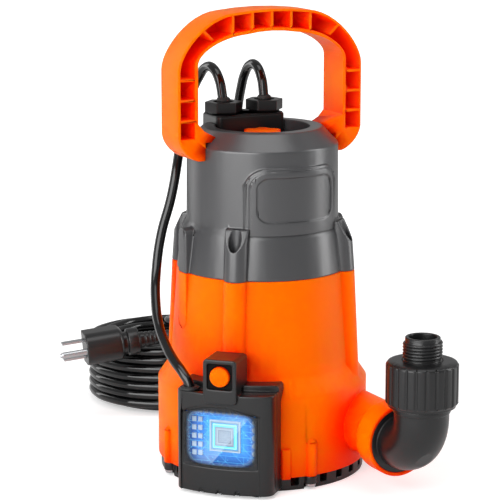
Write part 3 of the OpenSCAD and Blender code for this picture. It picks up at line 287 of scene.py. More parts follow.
def moulded_plastic(name, colour, roughness, grain_mm, grain_depth, mottling=0.04, specular=0.5,
                    depth=None, tint_gloss=None):
    """Injection-moulded plastic: a fine grain from the mould, a slight drift in colour and gloss.

    depth says how far each colour of light gets into the plastic, in mm; without it none does. With it the
    colour is also painted deep red as shade where faces stand close."""
    m, t = new_material(name)
    where = add_node(t, "ShaderNodeTexCoord").outputs["Object"]
    drift = add_node(t, "ShaderNodeTexNoise", {"Vector": where}, in_Scale=18.0, in_Detail=2.0)
    grain = add_node(t, "ShaderNodeTexNoise", {"Vector": where}, in_Scale=1.0 / (grain_mm * MM),
                     in_Detail=2.0, in_Roughness=0.6)
    base = linear(colour)
    low = tuple(c * (1 - mottling) for c in base[:3]) + (1,)
    high = tuple(min(1, c * (1 + mottling)) for c in base[:3]) + (1,)
    tint = add_node(t, "ShaderNodeMix", {"Factor": drift.outputs["Fac"]}, data_type="RGBA")
    tint.inputs[6].default_value = low
    tint.inputs[7].default_value = high
    rough = add_node(t, "ShaderNodeMapRange", {"Value": grain.outputs["Fac"]}, in_3=roughness * 0.82,
                     in_4=roughness * 1.18)
    soft = add_node(t, "ShaderNodeBevel", samples=6, in_Radius=bpy.context.scene.pump_sizes.soft_edge)
    bump = add_node(t, "ShaderNodeBump", {"Height": grain.outputs["Fac"], "Normal": soft.outputs["Normal"]},
                    in_Strength=grain_depth, in_Distance=0.00012)
    shader = add_node(t, "ShaderNodeBsdfPrincipled", {"Base Color": tint.outputs[2],
                      "Roughness": rough.outputs["Result"], "Normal": bump.outputs["Normal"]},
                      in_IOR=1.52)
    shader.inputs["Specular IOR Level"].default_value = specular
    if tint_gloss:
        shader.inputs["Specular Tint"].default_value = tint_gloss
    if depth:
        # painted shade: where other faces of this plastic stand near, the colour is painted deep red,
        # standing in for light that bounces between them until only its red is left
        near = add_node(t, "ShaderNodeAmbientOcclusion", samples=6, in_Distance=NEAR_FACES)
        painted_shade_mask = add_node(t, "ShaderNodeMapRange", {"Value": near.outputs["AO"]},
                        in_1=0.55, in_2=0.98, in_3=0.92, in_4=0.0)
        red = add_node(t, "ShaderNodeMix", {"Factor": painted_shade_mask.outputs["Result"], 6: tint.outputs[2]},
                       data_type="RGBA")
        red.inputs[7].default_value = linear(PAINTED_SHADE_RED)
        t.links.new(red.outputs[2], shader.inputs["Base Color"])
        # light enters this plastic a little and comes out redder
        shader.inputs["Subsurface Weight"].default_value = 0.6
        shader.inputs["Subsurface Radius"].default_value = depth
        shader.inputs["Subsurface Scale"].default_value = MM
    add_node(t, "ShaderNodeOutputMaterial", {"Surface": shader.outputs["BSDF"]})
    return m


def metal(name, colour, roughness, brushed_mm=0.5):
    """Bare metal with fine marks from its tool."""
    m, t = new_material(name)
    where = add_node(t, "ShaderNodeTexCoord").outputs["Object"]
    marks = add_node(t, "ShaderNodeTexNoise", {"Vector": where}, in_Scale=1.0 / (brushed_mm * MM),
                     in_Detail=3.0)
    rough = add_node(t, "ShaderNodeMapRange", {"Value": marks.outputs["Fac"]}, in_3=roughness - 0.07,
                     in_4=roughness + 0.08)
    shader = add_node(t, "ShaderNodeBsdfPrincipled", {"Roughness": rough.outputs["Result"]}, in_Metallic=1.0)
    shader.inputs["Base Color"].default_value = linear(colour)
    add_node(t, "ShaderNodeOutputMaterial", {"Surface": shader.outputs["BSDF"]})
    return m


# places on the sensor box's front in mm: across it and up
CHIP_MIDDLE = (0, 42)
CHIP_HALF = 11.0
BOARD_HALF = (30, 26)
WINDOW_MIDDLE = (-2, 41.8)
WINDOW_HALF = (28.2, 21.8)
WINDOW_ROUNDING = 5.0
# where the window's painted reflection ends: a point on its slanting edge and the edge's slope
PAINTED_GLEAM_CORNER = (18.7, 56.8)
PAINTED_GLEAM_SLOPE = 1.286


def box_place(t):
    """Coordinates in mm on the sensor box's front: across it and up, from the object's own coordinates."""
    where = add_node(t, "ShaderNodeTexCoord").outputs["Object"]
    turned = add_node(t, "ShaderNodeMapping", {"Vector": where}, vector_type="POINT",
                      in_Rotation=(0, 0, math.radians(45)), in_Scale=(1000, 1000, 1000))
    place = turned.outputs["Vector"]
    return add_node(t, "ShaderNodeSeparateXYZ", {"Vector": place}).outputs, place


def math_node(t, operation, a, b=None):
    """One sum on sockets or numbers."""
    n = t.nodes.new("ShaderNodeMath")
    n.operation = operation
    for i, v in enumerate((a, b)):
        if v is None:
            continue
        if isinstance(v, (int, float)):
            n.inputs[i].default_value = v
        else:
            t.links.new(v, n.inputs[i])
    return n.outputs["Value"]


def square_distance(t, x, z, middle, half=(1, 1), rounding=None):
    """How far a point is from a middle, counted along the sides of a rectangle: 1 is on its edge.

    A rounding power gives the rectangle round corners, the smaller the rounder."""
    across = math_node(t, "DIVIDE", math_node(t, "ABSOLUTE", math_node(t, "SUBTRACT", x, middle[0])), half[0])
    up = math_node(t, "DIVIDE", math_node(t, "ABSOLUTE", math_node(t, "SUBTRACT", z, middle[1])), half[1])
    if rounding is None:
        return math_node(t, "MAXIMUM", across, up)
    both = math_node(t, "ADD", math_node(t, "POWER", across, rounding), math_node(t, "POWER", up, rounding))
    return math_node(t, "POWER", both, 1 / rounding)


def colour_ramp(t, source, stops):
    """A ramp of colours over a value, from its (place, sRGB colour) stops."""
    n = add_node(t, "ShaderNodeValToRGB", {"Fac": source})
    n.color_ramp.elements.remove(n.color_ramp.elements[1])
    for i, (place, colour) in enumerate(stops):
        e = n.color_ramp.elements[0] if i == 0 else n.color_ramp.elements.new(place)
        e.position = place
        e.color = linear(colour)
    return n.outputs["Color"]


def painted_glow_board(name, face, glow):
    """A board with a painted glow: it gives out its own colour as light though it is no lamp, and is seen
    mostly by that glow.
    """
    m, t = new_material(name)
    (x, y, z), vector = box_place(t)
    colour = face(t, x, z, vector)
    # painted glow: the colour is given out again as emission
    shader = add_node(t, "ShaderNodeBsdfPrincipled", {"Base Color": colour, "Emission Color": colour})
    shader.inputs["Emission Strength"].default_value = glow
    shader.inputs["Roughness"].default_value = 0.35
    add_node(t, "ShaderNodeOutputMaterial", {"Surface": shader.outputs["BSDF"]})
    return m


def board_face(t, x, z, vector):
    """Blue solder mask with tracks and through holes."""
    # painted light: the mask is painted paler blue round the chip, and painted shade deepens it to dark blue
    # at the corners
    far = square_distance(t, x, z, CHIP_MIDDLE, BOARD_HALF)
    mask = colour_ramp(t, far, ((0.3, "2E9CE4"), (0.55, "146ABF"), (0.8, "0C4C9C"), (1.0, "083878")))
    # tracks: two nets of fine lines, one square and one on the skew
    tracks = None
    for turn, wide, high, in ((0.0, 13.0, 4.6), (45.0, 17.0, 8.3)):
        flat = add_node(t, "ShaderNodeCombineXYZ", {"X": x, "Y": z})
        turned = add_node(t, "ShaderNodeMapping", {"Vector": flat.outputs["Vector"]},
                          in_Rotation=(0, 0, math.radians(turn)))
        net = add_node(t, "ShaderNodeTexBrick", {"Vector": turned.outputs["Vector"]}, in_Scale=1.0,
                       in_Brick_Width=wide, in_Row_Height=high, in_Mortar_Size=0.13, in_Mortar_Smooth=0.6)
        net.offset = 0.37
        line = math_node(t, "MULTIPLY", net.outputs["Fac"], 0.8)
        tracks = line if tracks is None else math_node(t, "MAXIMUM", tracks, line)
    # bright dust of through holes
    holes = add_node(t, "ShaderNodeTexVoronoi", {"Vector": vector}, in_Scale=0.3)
    dots = math_node(t, "LESS_THAN", holes.outputs["Distance"], 0.12)
    mixed = add_node(t, "ShaderNodeMix", {"Factor": math_node(t, "MAXIMUM", tracks, dots)}, data_type="RGBA")
    t.links.new(mask, mixed.inputs[6])
    mixed.inputs[7].default_value = linear("5CC4F5")
    return mixed.outputs[2]


def chip_face(t, x, z, vector):
    """A grey lid in a dark body, with a painted highlight in bright cyan round its edge."""
    out = math_node(t, "DIVIDE", square_distance(t, x, z, CHIP_MIDDLE), CHIP_HALF)
    return colour_ramp(t, out, (
        (0.0, "8792A0"), (0.36, "7C8796"), (0.4, "5C6878"), (0.44, "97A2AF"), (0.6, "6C7A8C"),
        (0.66, "39D6FA"), (0.76, "A8F6FF"), (0.8, "2B86C8"), (0.88, "5F7D98"), (1.0, "A9B7C4")))


def window_pane(name):
    """Clear acrylic plate, printed black from behind at its edges, with a painted pale reflection on it."""
    m, t = new_material(name)
    (x, y, z), vector = box_place(t)
    edge = square_distance(t, x, z, WINDOW_MIDDLE, WINDOW_HALF, WINDOW_ROUNDING)
    printed = add_node(t, "ShaderNodeMapRange", {"Value": edge}, interpolation_type="SMOOTHSTEP",
                       in_1=0.76, in_2=1.0, in_3=0.02, in_4=1.0)
    # painted reflection: a pale sheet lies over the lower left, up to a slanting line
    slant = math_node(t, "DIVIDE", math_node(t, "SUBTRACT", z, PAINTED_GLEAM_CORNER[1]), PAINTED_GLEAM_SLOPE)
    line = math_node(t, "SUBTRACT", slant, math_node(t, "SUBTRACT", x, PAINTED_GLEAM_CORNER[0]))
    rise = add_node(t, "ShaderNodeMapRange", {"Value": line}, in_1=0.0, in_2=0.6, in_3=0.0, in_4=0.14)
    fall = add_node(t, "ShaderNodeMapRange", {"Value": line}, in_1=2.0, in_2=26.0, in_3=1.0, in_4=0.0)
    painted_gleam = math_node(t, "MULTIPLY", rise.outputs["Result"], fall.outputs["Result"])
    cover = math_node(t, "MAXIMUM", printed.outputs["Result"], painted_gleam)
    black = add_node(t, "ShaderNodeMapRange", {"Value": edge}, interpolation_type="SMOOTHSTEP",
                     in_1=0.7, in_2=0.9)
    # the pale tone is the painted reflection's colour, faint over the whole pane and stronger over the lower
    # left; the black is the print
    tone = add_node(t, "ShaderNodeMix", {"Factor": black.outputs["Result"]}, data_type="RGBA")
    tone.inputs[6].default_value = linear("C8E4FA")
    tone.inputs[7].default_value = linear("15181C")
    shader = add_node(t, "ShaderNodeBsdfPrincipled", {"Alpha": cover, "Base Color": tone.outputs[2]})
    shader.inputs["Roughness"].default_value = 0.06
    shader.inputs["IOR"].default_value = 1.49
    add_node(t, "ShaderNodeOutputMaterial", {"Surface": shader.outputs["BSDF"]})
    return m


MATERIALS = {}


def make_materials():
    """One finish for each real material on the pump."""
    c = bpy.context.scene.pump_colours
    # ABS, moulded with a smooth face: even, saturated, a broad soft gloss, painted deep red as shade where
    # its faces stand close
    MATERIALS["orange"] = moulded_plastic("orange_abs", c.orange, 0.4, 0.45, 0.12, 0.02, 0.1,
                                          depth=(14.0, 0.8, 0.1), tint_gloss=(1.0, 0.5, 0.15, 1.0))
    # Polypropylene from a spark-eroded mould: satin, with a fine even grain
    MATERIALS["grey"] = moulded_plastic("grey_textured_cover", c.grey, 0.31, 0.55, 0.25, 0.05, 0.85)
    # Glass-filled nylon: dark, slightly uneven, with a dull gloss
    MATERIALS["dark"] = moulded_plastic("dark_glass_filled_nylon", c.dark, 0.3, 0.4, 0.25, 0.06, 0.42)
    # PVC sheath: black, smooth, with long clear highlights
    MATERIALS["cord"] = moulded_plastic("black_pvc_sheath", c.cord, 0.1, 0.6, 0.0, 0.04, 0.5)
    # PVC moulded over the plug: black, with a soft gloss
    MATERIALS["plug"] = moulded_plastic("black_moulded_plug", "111112", 0.3, 0.5, 0.15)
    # EPDM rubber: black and dull
    MATERIALS["rubber"] = moulded_plastic("black_epdm_rubber", "1B1B1B", 0.6, 0.3, 0.4)
    # Pad in the button's recess: black, no gloss; painted shade that makes the shallow recess look deep
    MATERIALS["recess"] = moulded_plastic("recess_shade_pad", "070707", 0.85, 0.3, 0.1, specular=0.15)
    # Stainless steel, turned: bright, with fine round marks
    MATERIALS["steel"] = metal("stainless_steel_turned", "B9BBBE", 0.3)
    # Die-cast aluminium: pale grey and matt, with the coarse skin of the die
    MATERIALS["cast"] = metal("aluminium_die_cast", "9A9C9F", 0.45, 1.0)
    # Brass, turned from bar
    MATERIALS["brass"] = metal("brass_turned", "C9A253", 0.3)
    # Copper wire under clear enamel
    MATERIALS["copper"] = metal("enamelled_copper_wire", "B86A34", 0.35)
    # White polyamide of the small electrical parts
    MATERIALS["white"] = moulded_plastic("white_moulded_case", "DCDCD6", 0.4, 0.5, 0.1)
    # Glass-epoxy laminate under blue solder mask, with a painted glow and a painted pool of light round the
    # chip
    MATERIALS["board"] = painted_glow_board("blue_circuit_board", board_face, 0.42)
    # Ceramic package with a metal lid, with a painted glow and a painted highlight round the lid
    MATERIALS["chip"] = painted_glow_board("chip_package", chip_face, 0.4)
    # Tinned terminals and small ceramic parts, with a painted glow, darker towards the top
    MATERIALS["board_parts"] = painted_glow_board("tinned_board_parts", lambda t, x, z, v: colour_ramp(
        t, math_node(t, "DIVIDE", z, 62.0), ((0.4, "9FB4C9"), (0.9, "8397AE"), (1.0, "5E718A"))), 0.22)
    # Clear acrylic with a black printed border and a painted pale reflection
    MATERIALS["window"] = window_pane("clear_acrylic_window")


FINISH_OF = {
    "orange": "pump_casing carry_handle vent_plug mode_button",
    "grey": "motor_cover",
    "dark": "strainer_base gland_block power_gland_nut sensor_gland_nut outlet_elbow union_nut hose_adapter "
            "sensor_housing sensor_cover plug_body suction_plate impeller",
    "cord": "sensor_cord power_cord power_cord_coil power_cord_coil_core power_cord_tail",
    "rubber": "vent_plug_seal power_cord_seal sensor_cord_seal casing_oring outlet_oring adapter_gasket "
              "sensor_cord_grommet shaft_seal",
    "steel": "base_screws suction_screws cover_screws tie_bolts handle_screws sensor_mount_screws "
             "motor_shaft lower_bearing upper_bearing sensor_probes plug_ground_pin plug_blades",
    "cast": "motor_stator motor_rotor seal_plate upper_bracket motor_sleeve",
    "brass": "impeller_nut",
    "copper": "stator_windings",
    "white": "run_capacitor terminal_block button_switch",
    "board": "control_board",
    "board_parts": "board_parts",
    "chip": "controller_chip",
    "window": "sensor_window",
}


# ---- cords and plug: first their facts, then their shape ----

def mm(points):
    """Places in mm as vectors in the frame's metres."""
    return [Vector(p) * MM for p in points]


GLAND_X, GLAND_Y, GLAND_TOP = 16.3, 29, 261
# taken off the sheath's radius, so that it stays inside the solid's
SHEATH_GAP = 0.00002
# The mains lead: up out of its gland, back over the cover's rim, down, and out along the floor
POWER_ROUTE = [(16.3, 29, 245), (16.3, 29, 255), (16.3, 30, 265), (16.3, 33.5, 276),
               (16.2, 41.5, 283.5), (16, 51, 283), (15.5, 58.5, 275.5), (15, 63.5, 264),
               (14.2, 67.5, 248), (13.2, 72, 224), (12, 77, 190), (11.3, 80.5, 155), (11, 83, 120),
               (11, 84, 85), (11.5, 85, 55), (13, 88, 34), (17, 95, 17), (22, 101, 8), (28, 109, 4.5),
               (37, 121.4, 3.9), (48, 137, 3.8), (59.1, 152.9, 3.6)]
# The free end: over the top of the coil and down into the plug
TAIL_ROUTE = [(59.8, 189, 52.6), (58.9, 200, 52.8), (54.5, 212.5, 53.4), (46.5, 219.7, 54.2),
              (36, 220.9, 55.2), (26.5, 216.3, 56.3), (21.3, 207, 57.4), (20.2, 195, 58.6),
              (20, 182, 59.8), (18.1, 166.9, 61.2), (12.7, 152.3, 62.9), (2.6, 141.5, 64.5),
              (-6.6, 137.1, 65), (-15.1, 137.9, 64.4)]
# The sensor's lead: out of its gland, round the left side and down into the sensor box
SENSOR_ROUTE = [(-16.3, 29, 245), (-16.3, 29, 255), (-16.5, 30.5, 265), (-17, 34.5, 276),
                (-17.5, 43, 283), (-18, 53.5, 283), (-19.5, 62.5, 275), (-23, 67.5, 263),
                (-29, 66, 246), (-36.5, 58, 232), (-44, 48, 216), (-52, 42, 192), (-60, 42, 166),
                (-67, 36, 140), (-73, 24, 121), (-77, 10, 107), (-79.5, -7, 97), (-80.5, -22, 90),
                (-79.3, -34, 83.5), (-77.1, -39.5, 76.5), (-76.7, -40, 70)]
COIL_CENTRE = (14, 193)
COIL_OUTER = 59.7
COIL_START = -35
COIL_POINTS = 14
COIL_WINDINGS = 3
COIL_TURNS = 6.95
# a turn's height in cord diameters, the gaps between windings and above the floor in mm
TURN_PITCH = 1.003
WINDING_GAP = 0.05
FLOOR_GAP = 0.12
# each relief is a soft cone with three grooves, gripped by its nut: its section in mm
RELIEF = [(3.45, 236), (7.1, 236), (7.1, 252), (6.1, 254.5), (5.9, 256), (5.2, 256.4), (5.2, 257.4),
          (5.6, 257.8), (5.45, 259.6), (4.8, 260), (4.8, 261), (5.1, 261.4), (4.7, 263.2), (3.45, 264)]


def coil_points(diameter):
    """Three windings: up on the outside, down inside it, and up again to the free end."""
    layer = diameter + WINDING_GAP
    low = diameter / 2 + FLOOR_GAP
    points = []
    place = COIL_START

    def add(angle, radius, height):
        # hand-wound turns aren't quite round
        r = radius + 0.35 * math.sin(math.radians(3 * angle + 40)) + 0.25 * math.cos(math.radians(5 * angle))
        a = math.radians(angle)
        points.append((COIL_CENTRE[0] + r * math.cos(a), COIL_CENTRE[1] + r * math.sin(a), height))

    step = 360 / COIL_POINTS
    radius, height, way = COIL_OUTER, low, 1
    for winding in range(COIL_WINDINGS):
        count = round(COIL_TURNS * COIL_POINTS)
        for i in range(count + 1):
            add(place + i * step, radius, height + way * diameter * TURN_PITCH * i / COIL_POINTS)
        place += count * step
        height += way * diameter * TURN_PITCH * count / COIL_POINTS
        if winding < COIL_WINDINGS - 1:
            # one step inwards, on the level
            add(place + step * 0.9, radius - layer * 0.45, height)
            place += step * 1.8
        radius -= layer
        way = -way
    return points


class PUMP_OT_cords(bpy.types.Operator):
    """Lays both cords at their real length, with the strain reliefs in their glands"""
    bl_idname = "pump.cords"
    bl_label = "Cords"

    def curve(self, name, points, diameter):
        """A round cord through its points."""
        deselect()
        data = bpy.data.curves.new(name, "CURVE")
        data.dimensions = "3D"
        data.bevel_depth = diameter / 2 - SHEATH_GAP
        data.bevel_resolution = 5
        data.resolution_u = 7
        data.use_fill_caps = True
        line = data.splines.new("BEZIER")
        line.bezier_points.add(len(points) - 1)
        for p, co in zip(line.bezier_points, points):
            p.co = co
            p.handle_left_type = p.handle_right_type = "AUTO"
        obj = bpy.data.objects.new(name, data)
        bpy.context.scene.collection.objects.link(obj)
        return obj

    def execute(self, context):
        s = context.scene.pump_sizes
        d = s.cord_diameter
        wound = coil_points(d * 1000)
        mains = self.curve("mains_cord", mm(POWER_ROUTE[:-1] + wound + TAIL_ROUTE[1:]), d)
        finish_piece(mains, "mains_cord", MATERIALS["cord"], replaces=(
            "power_cord", "power_cord_coil", "power_cord_coil_core", "power_cord_tail"))
        sensor = self.curve("sensor_lead", mm(SENSOR_ROUTE), d)
        finish_piece(sensor, "sensor_lead", MATERIALS["cord"], replaces=("sensor_cord",))
        for x, node in ((GLAND_X, "power_cord_seal"), (-GLAND_X, "sensor_cord_seal")):
            relief = lathe(RELIEF, 40, closed=True, matrix=Matrix.Translation((x * MM, GLAND_Y * MM, 0)))
            finish_piece(relief, node.replace("seal", "relief"), MATERIALS["rubber"], replaces=(node,))
        return {"FINISHED"}


PLUG_PLACE = (Matrix.Translation(Vector((-55, 146.3, 60.2)) * MM) @ Matrix.Rotation(math.radians(168), 4, "Z")
              @ Matrix.Rotation(math.radians(6), 4, "Y"))


class PUMP_OT_plug(bpy.types.Operator):
    """Models the moulded plug: its block, its finger grip and its ribbed boot"""
    bl_idname = "pump.plug"
    bl_label = "Plug"

    def execute(self, context):
        deselect()
        bpy.ops.mesh.primitive_cube_add(size=1, location=(7.5 * MM, 0, 0), scale=(27 * MM, 24 * MM, 25 * MM))
        block = settle(context.object)
        # the side with the ground pin is round, the rear draws in to the neck
        pick_edges(block, lambda a, b, place: place.y > 11 * MM and abs(abs(place.z) - 12.5 * MM) < 0.1 * MM)
        bpy.ops.mesh.bevel(offset=10.5 * MM, segments=9, affect="EDGES")
        pick(block, lambda c, n: n.x < -0.9)
        bpy.ops.mesh.inset(thickness=2.2 * MM)
        bpy.ops.transform.translate(value=(-2.5 * MM, 0, 0))
        # a shallow step across the flat side, where the fingers pull
        pick(block, lambda c, n: n.y < -0.9)
        bpy.ops.mesh.inset(thickness=3.0 * MM)
        bpy.ops.transform.translate(value=(0, 0.9 * MM, 0))
        bpy.ops.object.mode_set(mode="OBJECT")
        apply_modifier(block, "BEVEL", width=0.8 * MM, segments=3, limit_method="ANGLE",
                       angle_limit=math.radians(40))
        outward(block)
        block.matrix_world = PLUG_PLACE
        settle(block)
        finish_piece(block, "plug_shell", MATERIALS["plug"], replaces=("plug_body",))
        apply_modifier(block, "WEIGHTED_NORMAL", weight=60, keep_sharp=True)
        # local z of the lathe runs backwards along the cord
        back = PLUG_PLACE @ Matrix.Rotation(math.radians(-90), 4, "Y")
        grip = [(9.2, 3), (9.3, 5), (8.4, 7.5), (8.3, 11.6), (9.6, 12), (10.4, 12.4), (10.6, 13.2),
                (10.6, 19.6), (10.4, 20.4), (9.6, 20.8), (7.2, 21.2), (6.3, 22)]
        # six ribs, each a little smaller than the one before it
        for k in range(6):
            z = 23 + 3.5 * k
            r = 6.2 - 0.26 * k
            grip += [(r, z), (r - 0.1, z + 2.2), (r - 0.7, z + 2.5), (r - 0.75, z + 3.1)]
        grip += [(4.5, 44.2), (4.2, 45.6), (3.5, 46)]
        boot = lathe(grip, 56, matrix=back)
        finish_piece(boot, "plug_boot", MATERIALS["plug"])
        return {"FINISHED"}


# ---- hose outlet ----

RISER = Matrix.Translation(Vector((50, -138.5, 0)) * MM)
# the adapter's section in mm: its flange under the nut, its shoulder, the thread's core and its lip
ADAPTER = [(9.6, 92.5), (18.3, 92.5), (18.4, 92.8), (18.4, 96), (13.5, 96.1), (13.5, 101.9), (12.3, 102),
           (12.2, 114.6), (12, 115), (12, 117.1), (11.9, 117.6), (11.4, 118), (10.1, 118), (9.7, 117.8),
           (9.6, 117.3)]
RIDGE_R = 1.13
RIDGE_X, RIDGE_Z = 12.45, 103.3
RIDGE_TURNS = 5


class PUMP_OT_hose_thread(bpy.types.Operator):
    """Turns the hose adapter and winds its thread"""
    bl_idname = "pump.hose_thread"
    bl_label = "Hose thread"

    def execute(self, context):
        pitch = context.scene.pump_sizes.thread_pitch
        body = lathe(ADAPTER, 72, closed=True, matrix=RISER)
        finish_piece(body, "hose_adapter_body", MATERIALS["dark"], replaces=("hose_adapter",))
        deselect()
        bpy.ops.mesh.primitive_circle_add(vertices=6, radius=RIDGE_R * MM,
                                          location=(RIDGE_X * MM, 0, RIDGE_Z * MM),
                                          rotation=(math.radians(90), math.radians(30), 0))
        ridge = settle(context.object)
        apply_modifier(ridge, "SCREW", axis="Z", angle=2 * math.pi, screw_offset=pitch,
                       iterations=RIDGE_TURNS, steps=60, render_steps=60, use_smooth_shade=False)
        pick(ridge, lambda co, n: True, "VERT")
        bpy.ops.mesh.fill_holes(sides=0)
        bpy.ops.object.mode_set(mode="OBJECT")
        outward(ridge)
        ridge.matrix_world = RISER
        settle(ridge)
        finish_piece(ridge, "hose_thread_ridge", MATERIALS["dark"], smooth=30)
        return {"FINISHED"}


# ---- sensor box ----

BOX_TURN = Matrix.Rotation(math.radians(-45), 4, "Z")


def facing_out(x, y, z):
    """Stands a turned piece's axis up to the sensor box's front: its own +Z points out of the box."""
    return BOX_TURN @ Matrix.Translation(Vector((x, y, z)) * MM) @ Matrix.Rotation(math.radians(90), 4, "X")


class PUMP_OT_button(bpy.types.Operator):
    """Turns the domed mode button and lines its recess with a near-black pad, painted shade that makes the
    shallow recess look deep
    """
    bl_idname = "pump.button"
    bl_label = "Mode button"

    def execute(self, context):
        dome = [(6.9, -4.4), (7, -4.2), (7, 0.2), (6.85, 0.7), (6.4, 1.15), (5.6, 1.4), (4, 1.62), (2, 1.75),
                (0.4, 1.78)]
        button = lathe(dome, 48, matrix=facing_out(0, -95.6, 87))
        finish_piece(button, "button_cap", MATERIALS["orange"], body="mode_button", replaces=("mode_button",),
                     smooth=50)
        deselect()
        # painted shade: a near-black pad that makes the shallow recess look as dark as a deep one
        bpy.ops.mesh.primitive_cube_add(size=1, scale=(17.7 * MM, 17.7 * MM, 0.5 * MM))
        pad = settle(context.object)
        pick(pad, lambda c, n: n.z > 0.9)
        bpy.ops.mesh.inset(thickness=0.8 * MM)
        bpy.ops.transform.translate(value=(0, 0, -0.2 * MM))
        bpy.ops.object.mode_set(mode="OBJECT")
        bpy.ops.mesh.primitive_cylinder_add(vertices=48, radius=7.35 * MM, depth=4 * MM)
        cut(pad, context.object)
        pad.matrix_world = facing_out(0, -94.3, 87)
        settle(pad)
        finish_piece(pad, "button_recess_shade_pad", MATERIALS["recess"])
        return {"FINISHED"}


# ---- moulded parts: copies of the frame's solids with the soft edges that a mould leaves ----

SOFT_EDGES = {
    # node: (finish, slot, radius in mm, steps, least angle in degrees)
    "motor_cover": ("grey", "grey_plastic", 0.8, 3, 38),
    "pump_casing": ("orange", "orange_plastic", 0.6, 3, 52),
    "gland_block": ("dark", "dark_plastic", 1.0, 3, 38),
    "power_gland_nut": ("dark", "dark_plastic", 0.5, 2, 38),
    "sensor_gland_nut": ("dark", "dark_plastic", 0.5, 2, 38),
    "vent_plug": ("orange", "orange_plastic", 0.6, 3, 38),
    "outlet_elbow": ("dark", "dark_plastic", 0.5, 2, 38),
    "union_nut": ("dark", "dark_plastic", 0.45, 2, 38),
    "sensor_housing": ("dark", "dark_plastic", 0.7, 3, 38),
    "sensor_cover": ("dark", "dark_plastic", 0.8, 3, 38),
    "strainer_base": ("dark", "dark_plastic", 0.5, 2, 38),
}


# the flat on the elbow that its gate was cut off at: a place on it in mm and the way it faces
GATE_PLACE = (48.4, -145.7, 33.4)
GATE_WAY = (-0.06, -0.72, -0.69)
GATE_DEPTH = 2.62


class PUMP_OT_moulded_parts(bpy.types.Operator):
    """Rounds the edges of the moulded housings"""
    bl_idname = "pump.moulded_parts"
    bl_label = "Moulded parts"

    def cut_gate(self, elbow):
        """Cuts the elbow's flat with a disc that lies on it."""
        away = Vector(GATE_WAY).normalized()
        deselect()
        bpy.ops.mesh.primitive_cylinder_add(vertices=48, radius=9 * MM, depth=6 * MM)
        knife = bpy.context.object
        place = Vector(GATE_PLACE) * MM + away * GATE_DEPTH * MM
        turn = away.to_track_quat("Z", "Y").to_matrix().to_4x4()
        knife.matrix_world = Matrix.Translation(place) @ turn
        cut(elbow, settle(knife))

    def execute(self, context):
        for node, (finish, slot, radius, steps, angle) in SOFT_EDGES.items():
            piece = show_cad_copy(node + "_moulded", node)
            if node == "outlet_elbow":
                self.cut_gate(piece)
            # unclamped, the radius holds everywhere, but faces cross where ribs stand closer than it
            apply_modifier(piece, "BEVEL", width=radius * MM, segments=steps, limit_method="ANGLE",
                           angle_limit=math.radians(angle), use_clamp_overlap=False,
                           miter_outer="MITER_ARC")
            keep_within(piece, node)
            body = "union_nut" if node == "union_nut" else "pump"
            finish_piece(piece, node + "_moulded", MATERIALS[finish], body=body, replaces=(node,))
            apply_modifier(piece, "WEIGHTED_NORMAL", weight=60, keep_sharp=True)
        return {"FINISHED"}


class PUMP_OT_handle(bpy.types.Operator):
    """Rounds the handle broadly along its outer rim"""
    bl_idname = "pump.handle"
    bl_label = "Carry handle"

    def execute(self, context):
        handle = show_cad_copy("carry_handle_moulded", "carry_handle", whole_faces=False)
        middle = Vector((0, 0, 268)) * MM

        def on_rim(a, b, place):
            side, face = (a, b) if abs(b.y) > 0.9 else (b, a)
            away = place - middle
            away.y = 0
            return abs(face.y) > 0.9 and abs(side.y) < 0.2 and side.dot(away.normalized()) > 0.55

        pick_edges(handle, on_rim)
        bpy.ops.mesh.bevel(offset=1.3 * MM, segments=4, affect="EDGES", clamp_overlap=False)
        bpy.ops.object.mode_set(mode="OBJECT")
        finish_piece(handle, "carry_handle_moulded", MATERIALS["orange"], replaces=("carry_handle",))
        return {"FINISHED"}


class PUMP_OT_foot_block(bpy.types.Operator):
    """Models the small block that stands out of the casing's foot, beside the sensor box"""
    bl_idname = "pump.foot_block"
    bl_label = "Foot block"

    def execute(self, context):
        deselect()
        bpy.ops.mesh.primitive_cube_add(size=1, location=(73.6 * MM, 0, 20.3 * MM),
                                        scale=(7 * MM, 6.2 * MM, 22.6 * MM))
        block = settle(context.object)
        # its top slopes back to the wall
        pick_edges(block, lambda a, b, place: place.x > 77 * MM and place.z > 31 * MM)
        bpy.ops.transform.translate(value=(-0.6 * MM, 0, -1.2 * MM))
        bpy.ops.object.mode_set(mode="OBJECT")
        apply_modifier(block, "BEVEL", width=0.7 * MM, segments=3, limit_method="ANGLE",
                       angle_limit=math.radians(40))
        block.matrix_world = Matrix.Rotation(math.radians(-104.6), 4, "Z")
        settle(block)
        finish_piece(block, "casing_foot_block", MATERIALS["orange"])
        return {"FINISHED"}


# ---- screws ----

def around(radius, height, angles):
    """Places on a circle round the pump's axis, in mm and degrees."""
    return [Matrix.Rotation(math.radians(a), 4, "Z") @ Matrix.Translation(Vector((radius, 0, height)) * MM)
            for a in angles]


HEAD_DOWN = Matrix.Rotation(math.radians(180), 4, "X")
SUCTION_PLACES = ((63.8, 23.2), (-5.5, 62.9), (-55.5, 20.2), (-41.0, -36.9))
SCREWS = {
    # node: (head radius, head height, shank radius, length under the head in mm, places)
    "cover_screws": (3.9, 3.0, 2.0, 32.0, around(61.66, 158.5, (45, 135, 225, 315))),
    "base_screws": (3.8, 2.6, 1.9, 18.0, [m @ HEAD_DOWN for m in around(73.5, 4, (0, 90, 180, 270))]),
    "suction_screws": (3.6, 2.4, 1.8, 14.0, [
        Matrix.Translation(Vector((x, y, 19)) * MM) @ HEAD_DOWN for x, y in SUCTION_PLACES]),
    "handle_screws": (3.4, 2.4, 1.6, 14.0, [
        Matrix.Rotation(math.radians(turn), 4, "Z") @ Matrix.Translation(Vector((48.8, y, 232.5)) * MM)
        @ Matrix.Rotation(math.radians(-90), 4, "Y") for turn in (0, 180) for y in (-7, 7)]),
}


